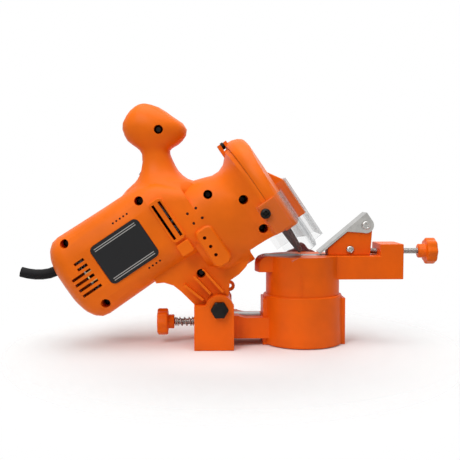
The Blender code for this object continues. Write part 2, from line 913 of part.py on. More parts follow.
def make_base():
    """Casting of block, arm and lower cup, with its bar and bolts."""
    half = BLOCK_DEPTH / 2
    block = piece(
        "base_casting", box((BLOCK_LEFT, -half, 0), (BLOCK_RIGHT, half, BLOCK_HEIGHT)), "orange_paint"
    )
    ears = tool("base_ears", across(EAR_RADIUS, PIVOT_X, PIVOT_Z, -half, half, FINE_ROUND))
    cup = tool("base_cup", rod((0, 0, 0), (0, 0, CUP_HEIGHT), CUP_RADIUS, CUP_TOP_RADIUS, FINE_ROUND))
    soften(cup, CUP_RIM_ROUNDING)
    pad_x = CUP_RADIUS + CUP_PAD_STAND
    pads = tool(
        "base_cup_pads", box((-pad_x, -CUP_PAD_WIDTH / 2, 0), (pad_x, CUP_PAD_WIDTH / 2, CUP_PAD_HEIGHT))
    )
    slope = (ARM_TOP_AT_BLOCK - ARM_TOP_AT_CUP) / 2
    outline = [
        (BLOCK_RIGHT - EDGE, ARM_UNDERSIDE),
        (-CUP_RADIUS + ARM_WIDTH / 4, ARM_UNDERSIDE),
        (-CUP_RADIUS + ARM_WIDTH / 4, ARM_TOP_AT_CUP),
        (BLOCK_RIGHT + ARM_WIDTH / 3, ARM_TOP_AT_CUP),
        (BLOCK_RIGHT + ARM_WIDTH / 6, ARM_TOP_AT_CUP + slope / 2),
        (BLOCK_RIGHT - EDGE, ARM_TOP_AT_BLOCK),
    ]
    arm = tool("base_arm", slab([outline], -ARM_WIDTH / 2, ARM_WIDTH / 2))
    join(block, ears, cup, pads, arm)

    channel = CHANNEL_WIDTH / 2
    above = BLOCK_HEIGHT + EAR_RADIUS + OVERRUN
    low_channel = box(
        (BLOCK_LEFT + END_WALL_THICKNESS, -channel, CHANNEL_FLOOR),
        (BLOCK_RIGHT - INNER_WALL_THICKNESS, channel, above),
    )
    high_channel = box(
        (BLOCK_LEFT - OVERRUN, -channel, END_WALL_HEIGHT),
        (BLOCK_RIGHT + OVERRUN / 2, channel, above),
    )
    pocket = box(
        (BLOCK_RIGHT + GAP, -ARM_POCKET_WIDTH / 2, ARM_POCKET_FLOOR),
        (ARM_POCKET_RIGHT, ARM_POCKET_WIDTH / 2, ARM_TOP_AT_BLOCK + OVERRUN),
    )
    bore = rod((0, 0, CUP_FLOOR), (0, 0, CUP_HEIGHT + OVERRUN), CUP_TOP_RADIUS - CUP_WALL, sides=FINE_ROUND)
    bolt_hole = rod((0, 0, -OVERRUN), (0, 0, CUP_HEIGHT), SWIVEL_BOLT_RADIUS + GAP)
    counterbore = rod((0, 0, -OVERRUN), (0, 0, SWIVEL_HEAD_HEIGHT + GAP), SWIVEL_HEAD_RADIUS + EDGE)
    pivot_hole = across(PIVOT_BOLT_RADIUS + GAP, PIVOT_X, PIVOT_Z, -half - OVERRUN, half + OVERRUN)
    screw_hole = along(DEPTH_SCREW_RADIUS + GAP, 0, BLOCK_LEFT - OVERRUN, BLOCK_LEFT + OVERRUN)
    nut_left = BLOCK_LEFT + END_WALL_THICKNESS - NUT_THICKNESS
    nut_pocket = slab(
        [polygon(NUT_RADIUS + GAP, 6, math.radians(90))],
        nut_left - GAP,
        nut_left + OVERRUN,
        "YZ",
    )
    cut(
        block,
        tool("base_low_channel", low_channel),
        tool("base_high_channel", high_channel),
        tool("base_bar_pocket", pocket),
        tool("base_cup_bore", bore),
        tool("base_bolt_hole", bolt_hole),
        tool("base_counterbore", counterbore),
        tool("base_pivot_hole", pivot_hole),
        tool("base_screw_hole", screw_hole, DEPTH),
        tool("base_nut_pocket", nut_pocket, DEPTH),
    )
    make_hex("depth_nut", "steel", DEPTH, NUT_RADIUS, nut_left, nut_left + NUT_THICKNESS - GAP,
             DEPTH_SCREW_RADIUS + GAP, "YZ")
    bar = box(
        (BLOCK_RIGHT + 2 * GAP, -ARM_POCKET_WIDTH / 2 + GAP, ARM_POCKET_FLOOR + GAP),
        (ARM_POCKET_RIGHT - GAP, ARM_POCKET_WIDTH / 2 - GAP, ARM_POCKET_FLOOR + GAP + BAR_HEIGHT),
    )
    soften(piece("arm_bar", bar, "steel"), SMALL_EDGE)
    make_base_bolts(half)


def make_base_bolts(half):
    """Pivot bolt with its nut, and the swivel bolt."""
    face = half + GAP
    end = face + PIVOT_NUT_HEIGHT + PIVOT_THREAD_OVERHANG
    stub = across(PIVOT_BOLT_RADIUS, 0, 0, -face - PIVOT_HEAD_HEIGHT / 2, end)
    bolt = piece("pivot_bolt", stub, "dark_steel", PIVOT)
    head = slab([polygon(PIVOT_HEAD_RADIUS, 6)], -face - PIVOT_HEAD_HEIGHT, -face)
    join(bolt, tool("pivot_bolt_head", head, PIVOT))
    make_hex("pivot_nut", "dark_steel", PIVOT, PIVOT_HEAD_RADIUS, face, face + PIVOT_NUT_HEIGHT,
             PIVOT_BOLT_RADIUS + GAP, "XZ")
    swivel = rod((0, 0, EDGE), (0, 0, SWIVEL_BOLT_TOP), SWIVEL_BOLT_RADIUS)
    swivel_bolt = piece("swivel_bolt", swivel, "dark_steel")
    swivel_head = slab([polygon(SWIVEL_HEAD_RADIUS, 6)], 0, SWIVEL_HEAD_HEIGHT, "XY")
    join(swivel_bolt, tool("swivel_bolt_head", swivel_head))


def fluted_knob(name, colour, parent, radius, low, high, hub_radius, hub_low, hub_high, bore, bore_end):
    """Fluted disc with a round hub, along X, blind-bored for its screw."""
    knob = piece(name, slab([fluted(radius, FLUTE_DEPTH, KNOB_FLUTES, 4)], low, high, "YZ"), colour, parent)
    soften(knob, EDGE, 1)
    hub = tool(name + "_hub", along(hub_radius, 0, hub_low, hub_high), parent)
    join(knob, hub)
    cut(knob, tool(name + "_bore", along(bore, 0, *bore_end), parent))
    return knob


def make_depth_stop():
    """Knob, screw and spring at the left of the block."""
    disc_right = DEPTH_KNOB_LEFT + DEPTH_KNOB_THICKNESS
    hub_right = disc_right + DEPTH_HUB_LENGTH
    bore_left = hub_right - KNOB_BORE_DEPTH
    fluted_knob(
        "depth_knob", "orange_plastic", DEPTH, DEPTH_KNOB_RADIUS, DEPTH_KNOB_LEFT, disc_right,
        DEPTH_HUB_RADIUS, disc_right - EDGE, hub_right,
        DEPTH_SCREW_RADIUS + GAP, (bore_left - GAP, hub_right + OVERRUN),
    )
    piece("depth_screw", along(DEPTH_SCREW_RADIUS, 0, bore_left, DEPTH_SCREW_TIP), "steel", DEPTH)

    start = hub_right + GAP + SPRING_WIRE_RADIUS
    length = BLOCK_LEFT - GAP - SPRING_WIRE_RADIUS - start
    count = round(SPRING_TURNS * SPRING_POINTS_A_TURN)
    points = []
    for index in range(count + 1):
        angle = math.tau * index / SPRING_POINTS_A_TURN
        points.append((
            start + length * index / count,
            SPRING_COIL_RADIUS * math.cos(angle),
            SPRING_COIL_RADIUS * math.sin(angle),
        ))
    spring = piece("depth_spring", tube(points, SPRING_WIRE_RADIUS, resolution=1), "steel", DEPTH)
    print("depth spring least gap mm:", round(spring_gap(points) * 1000, 3))
    return spring


def spring_gap(points):
    """Least distance between wires of neighbouring curls, measured on points."""
    route = np.array(points)
    least = math.inf
    for index in range(len(route) - SPRING_POINTS_A_TURN // 2):
        later = route[index + SPRING_POINTS_A_TURN // 2:]
        least = min(least, float(np.linalg.norm(later - route[index], axis=1).min()))
    return least - 2 * SPRING_WIRE_RADIUS


def make_table():
    """Swivelling cup with lip, arm and end block, the two jaws and the clamp."""
    seat = CUP_FLOOR + GAP
    cup = rod((0, 0, seat), (0, 0, TABLE_TOP), TABLE_RADIUS, sides=FINE_ROUND)
    table = piece("table_casting", cup, "orange_paint", TABLE)
    half = TABLE_ARM_WIDTH / 2
    lip_block = box((LIP_LEFT - OVERRUN, -half, LIP_UNDERSIDE), (0, half, TABLE_TOP + OVERRUN))
    lip = tool("table_lip", lip_block, TABLE)
    lip_rod = rod((0, 0, LIP_UNDERSIDE - 2 * OVERRUN), (0, 0, TABLE_TOP), -LIP_LEFT, sides=FINE_ROUND)
    lip_round = tool("table_lip_round", lip_rod, TABLE)
    soften(lip_round, LIP_ROUNDING, 5)
    combine(lip, lip_round, "INTERSECT")
    arm_outline = [
        (0, TABLE_ARM_UNDERSIDE),
        (TABLE_ARM_RIGHT, TABLE_ARM_UNDERSIDE),
        (TABLE_ARM_RIGHT, END_BLOCK_TOP),
        (END_BLOCK_LEFT, END_BLOCK_TOP),
        (END_BLOCK_LEFT, TABLE_TOP),
        (0, TABLE_TOP),
    ]
    arm = tool("table_arm", slab([arm_outline], -half, half), TABLE)
    soften(arm, SMALL_EDGE)
    rib = box(
        (-RIB_WIDTH / 2, -TABLE_RADIUS - RIB_STAND, RIB_BOTTOM),
        (RIB_WIDTH / 2, -TABLE_RADIUS + EDGE, RIB_TOP),
    )
    join(table, lip, arm, tool("table_rib", rib, TABLE, (0, 0, RIB_TURN)))

    jaw_z = TABLE_TOP - JAW_HEIGHT - GAP
    jaw_y = CHAIN_GAP / 2 + JAW_THICKNESS + GAP
    inner = TABLE_RADIUS - TABLE_WALL
    hollow_rod = rod((0, 0, seat - OVERRUN), (0, 0, TABLE_HOLLOW_TOP), inner, sides=FINE_ROUND)
    hollow = tool("table_hollow", hollow_rod, TABLE)
    hub = rod((0, 0, seat - 2 * OVERRUN), (0, 0, TABLE_HOLLOW_TOP + OVERRUN), TABLE_HUB_RADIUS)
    cut(hollow, tool("table_hub", hub, TABLE))
    bolt_hole = rod((0, 0, seat - OVERRUN), (0, 0, SWIVEL_BOLT_TOP + GAP), SWIVEL_BOLT_RADIUS + GAP)
    chain_slot = box(
        (LIP_LEFT - OVERRUN, -CHAIN_GAP / 2, TABLE_TOP - CHAIN_DEPTH),
        (GUIDE_SLOT_RIGHT, CHAIN_GAP / 2, TABLE_TOP + OVERRUN / 2),
    )
    jaw_pocket = box(
        (JAW_LEFT - GAP, -jaw_y, jaw_z),
        (JAW_RIGHT + GAP, jaw_y, TABLE_TOP + OVERRUN),
    )
    clamp_hole = across(CLAMP_SCREW_RADIUS + GAP, 0, 0, 0, TABLE_RADIUS + OVERRUN)
    stop_hole = along(STOP_SCREW_RADIUS + GAP, 0, END_BLOCK_LEFT - OVERRUN / 4, TABLE_ARM_RIGHT + OVERRUN)
    cut(
        table,
        hollow,
        tool("table_bolt_hole", bolt_hole, TABLE),
        tool("table_chain_slot", chain_slot, TABLE),
        tool("table_jaw_pocket", jaw_pocket, TABLE),
        tool("table_clamp_hole", clamp_hole, CLAMP),
        tool("table_stop_hole", stop_hole, STOP),
    )
    make_jaws(jaw_z)


def make_jaws(jaw_z):
    """Two steel jaws, the clamp screw and its lobed knob."""
    for name, side in (("front_jaw", -1), ("rear_jaw", 1)):
        near = side * CHAIN_GAP / 2
        far = side * (CHAIN_GAP / 2 + JAW_THICKNESS)
        mesh = box(
            (JAW_LEFT, min(near, far), jaw_z + GAP),
            (JAW_RIGHT, max(near, far), jaw_z + GAP + JAW_HEIGHT),
        )
        soften(piece(name, mesh, "steel", TABLE), SMALL_EDGE / 2)
    tip = CHAIN_GAP / 2 + JAW_THICKNESS + GAP
    screw_end = CLAMP_KNOB_FRONT + CLAMP_KNOB_THICKNESS / 2
    piece("clamp_screw", across(CLAMP_SCREW_RADIUS, 0, 0, tip, screw_end), "steel", CLAMP)
    outline = fluted(CLAMP_KNOB_RADIUS, CLAMP_LOBE_DEPTH, CLAMP_LOBES, 5)
    knob = piece(
        "clamp_knob",
        slab([outline], CLAMP_KNOB_FRONT, CLAMP_KNOB_FRONT + CLAMP_KNOB_THICKNESS),
        "dark_red_plastic",
        CLAMP,
    )
    soften(knob, EDGE)
    bore = across(CLAMP_SCREW_RADIUS + GAP, 0, 0, CLAMP_KNOB_FRONT - OVERRUN, screw_end + GAP)
    cut(knob, tool("clamp_knob_bore", bore, CLAMP))


def make_chain_stop():
    """Carriage on the arm, its pawl, screws and knob."""
    ear_top = arc(EAR_X, EAR_Z, STOP_EAR_RADIUS, -20, 128, 8)
    outline = [(CARRIAGE_LEFT, TABLE_TOP + GAP), (CARRIAGE_RIGHT, TABLE_TOP + GAP)]
    outline += ear_top
    outline.append((CARRIAGE_LEFT, CARRIAGE_LOW_TOP))
    half = CARRIAGE_WIDTH / 2
    carriage = piece("carriage", slab([outline], -half, half), "orange_paint", TABLE)
    soften(carriage, SMALL_EDGE / 2, 1)
    tongue = box(
        (CARRIAGE_LEFT + EDGE, -CARRIAGE_TONGUE_WIDTH / 2, TABLE_TOP - CARRIAGE_TONGUE_DEPTH),
        (CARRIAGE_RIGHT - EDGE - STOP_SCREW_SEAT, CARRIAGE_TONGUE_WIDTH / 2, TABLE_TOP + EDGE),
    )
    join(carriage, tool("carriage_tongue", tongue, TABLE))
    pivot_hole = across(PAWL_SCREW_RADIUS + GAP, 0, 0, -OVERRUN, OVERRUN)
    lock_hole = across(SMALL_SCREW_RADIUS + GAP, CARRIAGE_SCREW_X, CARRIAGE_SCREW_Z, -OVERRUN,
                       -half + SMALL_SCREW_LENGTH + GAP)
    seat = along(
        STOP_SCREW_RADIUS + GAP, 0, CARRIAGE_RIGHT - STOP_SCREW_SEAT - GAP, CARRIAGE_RIGHT + OVERRUN
    )
    cut(
        carriage,
        tool("carriage_pivot_hole", pivot_hole, PAWL),
        tool("carriage_lock_hole", lock_hole, TABLE),
        tool("carriage_screw_seat", seat, STOP),
    )
    head_face = half + GAP + PAWL_SHEET + GAP
    pan_screw("pawl_screw", PAWL, PAWL_SCREW_RADIUS, PAWL_SCREW_HEAD_RADIUS, SMALL_HEAD_HEIGHT,
              2 * head_face, (0, -head_face, 0), "steel")
    pan_screw("carriage_screw", TABLE, SMALL_SCREW_RADIUS, SMALL_HEAD_RADIUS, SMALL_HEAD_HEIGHT,
              SMALL_SCREW_LENGTH, (CARRIAGE_SCREW_X, -half - GAP, CARRIAGE_SCREW_Z), "steel")
    make_pawl(half)

    screw_left = CARRIAGE_RIGHT - STOP_SCREW_SEAT
    hub_right = STOP_KNOB_LEFT + STOP_HUB_LENGTH
    screw_right = STOP_KNOB_LEFT + KNOB_BORE_DEPTH
    piece("stop_screw", along(STOP_SCREW_RADIUS, 0, screw_left, screw_right), "steel", STOP)
    fluted_knob(
        "stop_knob", "orange_plastic", STOP, STOP_KNOB_RADIUS, hub_right, hub_right + STOP_KNOB_THICKNESS,
        STOP_HUB_RADIUS, STOP_KNOB_LEFT, hub_right + EDGE,
        STOP_SCREW_RADIUS + GAP, (STOP_KNOB_LEFT - OVERRUN, screw_right + GAP),
    )


def pan_screw(name, parent, radius, head_radius, head_height, length, spot, colour):
    """Domed head towards the front and a plain shank towards the back."""
    profile = (
        (0, head_height),
        (head_radius * PAN_SHARE, head_height),
        (head_radius, head_height * PAN_SHARE),
        (head_radius, 0),
        (radius, 0),
        (radius, -length),
        (0, -length),
    )
    screw = piece(name, bpy.data.meshes.new(name), colour, parent, TOWARDS_FRONT, spot)
    return turned(screw, profile, closed=False, steps=8)


def make_pawl(half):
    """Folded steel pawl: a sloping strip with a cheek on each side of the ear."""
    down = Vector((-math.cos(PAWL_SLOPE), -math.sin(PAWL_SLOPE)))
    up = Vector((-math.sin(PAWL_SLOPE), math.cos(PAWL_SLOPE)))

    def spot(reach, rise):
        return tuple(down * reach + up * rise)

    outer = half + GAP + PAWL_SHEET
    top = PAWL_OFFSET + PAWL_SHEET
    lean = math.degrees(PAWL_SLOPE)
    lip = PAWL_OFFSET - PAWL_SHEET / 2
    outline = [spot(PAWL_REACH, lip), spot(PAWL_REACH, top), spot(-PAWL_TAIL, top)]
    outline += arc(0, 0, PAWL_CHEEK_RADIUS, lean + 5, lean - 150, 9)
    outline.append(spot(PAWL_CHEEK_REACH, lip))
    pawl = piece("pawl", slab([outline], -outer, outer), "steel", PAWL)
    inner = half + GAP
    channel = [
        spot(PAWL_REACH + EDGE, PAWL_OFFSET),
        spot(-2 * PAWL_TAIL, PAWL_OFFSET),
        spot(-2 * PAWL_TAIL, -2 * PAWL_OFFSET),
        spot(PAWL_REACH + EDGE, -2 * PAWL_OFFSET),
    ]
    cut(pawl, tool("pawl_channel", slab([channel], -inner, inner), PAWL))
    cut(pawl, tool("pawl_hole", across(PAWL_SCREW_RADIUS + GAP, 0, 0, -OVERRUN, OVERRUN), PAWL))


def case_rings(inset=0.0, front=None):
    """Rings of the motor case, or of its inner wall when inset."""
    rear = CASE_REAR + inset
    middle = CASE_FLOOR + CASE_HEIGHT / 2
    half_high = CASE_HEIGHT / 2 - inset
    half_wide = CASE_HALF_WIDTH - inset
    rings = []
    for step in range(1, CASE_CAP_STEPS + 1):
        angle = math.radians(90) * step / (CASE_CAP_STEPS + 1)
        size = math.sin(angle) ** (2 / CASE_CAP_POWER)
        depth = 1 - math.cos(angle) ** (2 / CASE_CAP_POWER)
        x = rear + CASE_CAP_DEPTH * depth
        rings.append(section(x, middle + half_high * size, middle - half_high * size,
                             half_wide * size, CASE_BOXINESS))
    for share, top, bottom, wide in CASE_SHARES:
        x = CASE_REAR + CASE_LENGTH * share
        limit = front is not None and x > front
        x = front if limit else x
        rings.append(section(
            x,
            CASE_FLOOR + CASE_HEIGHT * top - inset,
            CASE_FLOOR + CASE_HEIGHT * bottom + inset,
            CASE_HALF_WIDTH * wide - inset,
            CASE_BOXINESS,
        ))
        if limit:
            break
    return rings


def gearcase_rings():
    """Rings of the gear case as it opens out into the flange."""
    length = FLANGE_FRONT - GEARCASE_REAR
    return [
        section(GEARCASE_REAR + length * share, FLANGE_TOP * top, FLANGE_TOP * bottom,
                FLANGE_HALF_WIDTH * wide, boxiness)
        for share, top, bottom, wide, boxiness in GEARCASE_SHARES
    ]


def handle_rings():
    """Rings of the knob, neck and saddle, lying flat in the upright frame."""
    rings = []
    for fall, left, right, wide in HANDLE_SHARES:
        z = KNOB_TOP - HANDLE_HEIGHT * fall
        low = HANDLE_CENTRE_X + KNOB_LENGTH * left
        high = HANDLE_CENTRE_X + KNOB_LENGTH * right
        outline = oval((high - low) / 2, KNOB_WIDTH * wide, HANDLE_BOXINESS, 16)
        rings.append([((low + high) / 2 + x, y, z) for x, y in outline])
    return rings


def leg_outline():
    """Side view of the pivot leg with its round boss and the heel that meets the stop."""
    outline = [(HEEL_LEFT, HEEL_BOTTOM)]
    outline += [(LEG_REACH * x, LEG_REACH * z) for x, z in LEG_LEFT_SHARES]
    outline += [(LEG_REACH * x, LEG_REACH * z) for x, z in LEG_RIGHT_SHARES]
    outline += arc(0, 0, PIVOT_BOSS_RADIUS, 45, -70, 7)
    outline.append((HEEL_RIGHT, HEEL_BOTTOM))
    return outline


def gusset(index, ends):
    """One rib plate that runs from the case to the leg."""
    upper, lower = (Vector((LEG_REACH * x, LEG_REACH * z)) for x, z in ends)
    side = (lower - upper).normalized().orthogonal() * GUSSET_THICKNESS / 2
    inward = (upper - lower).normalized() * GUSSET_BASE_RISE
    corners = [upper + inward + side, lower + side, lower - side, upper + inward - side]
    return tool(
        f"gusset_{index}", slab([[tuple(c) for c in corners]], -GUSSET_HALF_WIDTH, GUSSET_HALF_WIDTH), PIVOT
    )


def screw_places():
    """Places of the case screws in the head's XZ plane."""
    return [(CASE_LENGTH * x, CASE_HEIGHT * z) for x, z in CASE_SCREW_SHARES]


def motor_cavity():
    """Hollow of the motor case, with the ribs and pedestal that hold the motor."""
    cavity = tool("motor_cavity", loft(case_rings(CASE_WALL, CAVITY_FRONT)), HEAD)
    wide = CASE_HALF_WIDTH + OVERRUN
    low, high = CASE_FLOOR - OVERRUN, CASE_FLOOR + CASE_HEIGHT + OVERRUN
    stator_front = STATOR_REAR + STATOR_LENGTH
    for index, x in enumerate((STATOR_REAR + STATOR_RIB_INSET, stator_front - STATOR_RIB_INSET)):
        slab_box = box(
            (x - STATOR_RIB_THICKNESS / 2, -wide, low), (x + STATOR_RIB_THICKNESS / 2, wide, high)
        )
        cut(cavity, tool(f"stator_rib_{index}", slab_box, HEAD))
    pedestal = box(
        (REAR_BEARING_REAR - PEDESTAL_WALL, -PEDESTAL_WIDTH / 2, low),
        (REAR_BEARING_REAR + BEARING_WIDTH + PEDESTAL_WALL, PEDESTAL_WIDTH / 2, high),
    )
    cut(cavity, tool("rear_pedestal", pedestal, HEAD))
    for index, (x, z) in enumerate(screw_places()[:3]):
        boss = across(BOSS_RADIUS, x, z, -wide, wide, 16)
        cut(cavity, tool(f"case_boss_{index}", boss, HEAD))
    seat = along(STATOR_RADIUS + GAP, MOTOR_Z, STATOR_REAR - EDGE, stator_front + EDGE, FINE_ROUND)
    join(cavity, tool("stator_seat", seat, HEAD))
    return cavity


def bearing_seats():
    """Hollows for the bearings, shafts, gears and the inner flange."""
    rear_end = REAR_BEARING_REAR + BEARING_WIDTH + PEDESTAL_WALL + OVERRUN / 4
    wall_end = GEARBOX_REAR + EDGE
    seat = BEARING_RADIUS + GAP
    gear_room = MODULE * (GEAR_TEETH / 2 + 1) + GEAR_TIP_ROOM
    pinion_room = MODULE * (PINION_TEETH / 2 + 1) + PINION_TIP_ROOM
    recess = FLANGE_FRONT - FLANGE_RECESS_DEPTH
    shaft_room = SHAFT_RADIUS + SPINDLE_HOLE_ROOM
    spindle_room = SPINDLE_RADIUS + SPINDLE_HOLE_ROOM
    spindle_seat_rear = SPINDLE_BEARING_REAR - GAP
    return [
        tool("rear_seat", along(seat, MOTOR_Z, REAR_BEARING_REAR - GAP, rear_end), HEAD),
        tool("rear_shaft_room", along(shaft_room, MOTOR_Z, SHAFT_REAR - EDGE, rear_end), HEAD),
        tool("front_seat", along(seat, MOTOR_Z, FRONT_BEARING_REAR - GAP, wall_end), HEAD),
        tool("front_shaft_room", along(shaft_room, MOTOR_Z, CAVITY_FRONT - EDGE, wall_end), HEAD),
        tool("spindle_rear_seat", along(seat, 0, FRONT_BEARING_REAR - GAP, wall_end), HEAD),
        tool("gear_room", along(gear_room, 0, GEARBOX_REAR, GEARBOX_FRONT, FINE_ROUND), HEAD),
        tool("pinion_room", along(pinion_room, MOTOR_Z, GEARBOX_REAR, GEARBOX_FRONT), HEAD),
        tool(
            "spindle_front_seat",
            along(seat, 0, spindle_seat_rear, spindle_seat_rear + BEARING_WIDTH + 2 * GAP), HEAD,
        ),
        tool("spindle_room", along(spindle_room, 0, GEARBOX_FRONT - EDGE, FLANGE_FRONT + OVERRUN), HEAD),
        tool(
            "flange_recess", along(FLANGE_RECESS_RADIUS, 0, recess, FLANGE_FRONT + OVERRUN, FINE_ROUND), HEAD
        ),
    ]


def side_vents():
    """Rear vents, the two long slots and the small holes, through both sides."""
    wide = CASE_HALF_WIDTH + OVERRUN
    inner = CASE_HALF_WIDTH - CASE_WALL * 3
    vents = []
    for side, (low, high) in enumerate(((-wide, -inner), (inner, wide))):
        for index, (share, is_long) in enumerate(REAR_VENT_SHARES):
            z = CASE_FLOOR + CASE_HEIGHT * share
            rear = LONG_VENT_REAR if is_long else SHORT_VENT_REAR
            shape = box((rear, low, z - VENT_HEIGHT / 2), (VENT_FRONT, high, z + VENT_HEIGHT / 2))
            vents.append(tool(f"rear_vent_{side}_{index}", shape, HEAD))
        for index, x in enumerate((FIRST_SLOT_X, SECOND_SLOT_X)):
            shape = box((x - SLOT_WIDTH / 2, low, SLOT_BOTTOM), (x + SLOT_WIDTH / 2, high, SLOT_TOP))
            vents.append(tool(f"long_slot_{side}_{index}", shape, HEAD))
    for index, (x, z) in enumerate(GREASE_HOLE_SHARES):
        hole = across(
            GREASE_HOLE_RADIUS, FLANGE_TOP * x, FLANGE_TOP * z, -wide, -RIDGE_FACE + GREASE_HOLE_DEPTH, 8
        )
        vents.append(tool(f"small_hole_{index}", hole, HEAD))
    return vents


def raised_forms():
    """Frame round the long slots and the ridge beside them, on both sides."""
    margin = SLOT_FRAME_MARGIN
    slots = rounded_rectangle(
        FIRST_SLOT_X - margin, SECOND_SLOT_X + margin, SLOT_BOTTOM - margin, SLOT_TOP + margin, margin)
    tab = rounded_rectangle(TAB_REAR, TAB_FRONT, TAB_BOTTOM, TAB_TOP, margin / 2)
    ridge = rounded_rectangle(RIDGE_REAR, RIDGE_FRONT, RIDGE_BOTTOM, RIDGE_TOP, PLATE_ROUNDING)
    lug_front = COVER_LUG_REAR + COVER_LUG_THICKNESS
    lug = box(
        (COVER_LUG_REAR, -COVER_LUG_WIDTH / 2, FLANGE_TOP - OVERRUN),
        (lug_front, COVER_LUG_WIDTH / 2, COVER_LUG_TOP),
    )
    boss_face = FLANGE_HALF_WIDTH - SMALL_EDGE
    boss = box(
        (GUARD_BOSS_REAR, -boss_face, GUARD_BOSS_BOTTOM), (FLANGE_FRONT - EDGE, boss_face, GUARD_BOSS_TOP)
    )
    forms = [
        tool("slot_frame", slab([slots], -SLOT_FRAME_FACE, SLOT_FRAME_FACE), HEAD),
        tool("gear_ridge", slab([ridge], -RIDGE_FACE, RIDGE_FACE), HEAD),
        tool("side_tab", slab([tab], -TAB_FACE, TAB_FACE), HEAD),
        tool("cover_lug", lug, HEAD),
        tool("guard_screw_boss", boss, HEAD),
    ]
    soften(forms[0], SMALL_EDGE, 1)
    soften(forms[1], EDGE, 1)
    soften(forms[2], SMALL_EDGE, 1)
    return forms


def make_housing():
    """Two moulded halves: case, gear case, handle and pivot leg, hollow and vented."""
    whole = tool("housing_whole", loft(case_rings()), HEAD)
    wide = FLANGE_HALF_WIDTH + OVERRUN
    flange = tool("housing_flange", loft(gearcase_rings()), HEAD)
    underside = box(
        (GEARCASE_CUT_REAR, -wide, -2 * FLANGE_TOP), (FLANGE_FRONT + OVERRUN, wide, HEAD_UNDERSIDE)
    )
    cut(flange, tool("head_underside", underside, HEAD))
    handle = tool("housing_handle", loft(handle_rings()), PIVOT)
    leg = tool("housing_leg", slab([leg_outline()], -LEG_HALF_WIDTH, LEG_HALF_WIDTH), PIVOT)
    eyelet = tool("housing_eyelet", across(
        EYELET_RADIUS, EYELET_X, EYELET_Z, -EYELET_HALF_WIDTH, EYELET_HALF_WIDTH, 16
    ),
                  PIVOT)
    gussets = [gusset(index, ends) for index, ends in enumerate(GUSSET_SHARES)]
    join(whole, flange, handle, leg, eyelet, *gussets, *raised_forms())

    eyelet_hole = across(EYELET_HOLE_RADIUS, EYELET_X, EYELET_Z, -OVERRUN, OVERRUN, 12)
    pivot_hole = across(PIVOT_BOLT_RADIUS + GAP, 0, 0, -wide, wide)
    lug_hole = along(SCREW_RADIUS + PILOT_ROOM, (FLANGE_TOP + EDGE + COVER_LUG_TOP) / 2,
                     COVER_LUG_REAR - EDGE, COVER_LUG_REAR + OVERRUN, 12)
    guard_hole = across(GUARD_SCREW_RADIUS + GAP, GUARD_SCREW_X, GUARD_SCREW_Z, -wide,
                        -GUARD_HALF_WIDTH + GUARD_SCREW_LENGTH + GAP, 12)
    guard_hole_far = across(GUARD_SCREW_RADIUS + GAP, GUARD_SCREW_X, GUARD_SCREW_Z,
                            GUARD_HALF_WIDTH - GUARD_SCREW_LENGTH - GAP, wide, 12)
    sleeve_hole = tool("sleeve_hole", tube(sleeve_points(), SLEEVE_RADIUS + GAP), PIVOT)
    cut(
        whole,
        tool("eyelet_hole", eyelet_hole, PIVOT),
        tool("leg_pivot_hole", pivot_hole, PIVOT),
        tool("cover_lug_hole", lug_hole, HEAD),
        tool("guard_hole_near", guard_hole, HEAD),
        tool("guard_hole_far", guard_hole_far, HEAD),
        tool("switch_pocket", switch_pocket(), SWITCH),
        sleeve_hole,
        motor_cavity(),
        *bearing_seats(),
        *side_vents(),
    )

    reach = KNOB_TOP + HANDLE_HEIGHT
    depth = FLANGE_HALF_WIDTH + OVERRUN
    near_space = box((-reach, -depth, -reach), (reach, -PARTING / 2, reach))
    far_space = box((-reach, PARTING / 2, -reach), (reach, depth, reach))
    near = piece("housing_near", near_space, "orange_plastic", HEAD)
    far = piece("housing_far", far_space, "orange_plastic", HEAD)
    combine(near, whole, "INTERSECT")
    combine(far, whole, "INTERSECT")

    plate = rounded_rectangle(PLATE_REAR, PLATE_FRONT, PLATE_BOTTOM, PLATE_TOP, PLATE_ROUNDING)
    cut(near, tool("plate_recess", slab([plate], -depth, -PLATE_FACE), HEAD))
    for index, (x, z) in enumerate(screw_places(), start=1):
        recess = tool(f"recess_{index}", across(RECESS_RADIUS, x, z, -depth, -SCREW_SEAT, 14), HEAD)
        hole = tool(f"screw_hole_{index}", across(SCREW_RADIUS + PILOT_ROOM, x, z, -depth, depth, 8), HEAD)
        pilot = tool(
            f"pilot_{index}", across(SCREW_RADIUS + PILOT_ROOM, x, z, -OVERRUN, SCREW_REACH + GAP, 8), HEAD
        )
        cut(near, recess, hole)
        cut(far, pilot)
        pan_screw(f"case_screw_{index}", HEAD, SCREW_RADIUS, SCREW_HEAD_RADIUS, SCREW_HEAD_HEIGHT,
                  SCREW_SEAT + SCREW_REACH, (x, -SCREW_SEAT - GAP, z), "dark_steel")


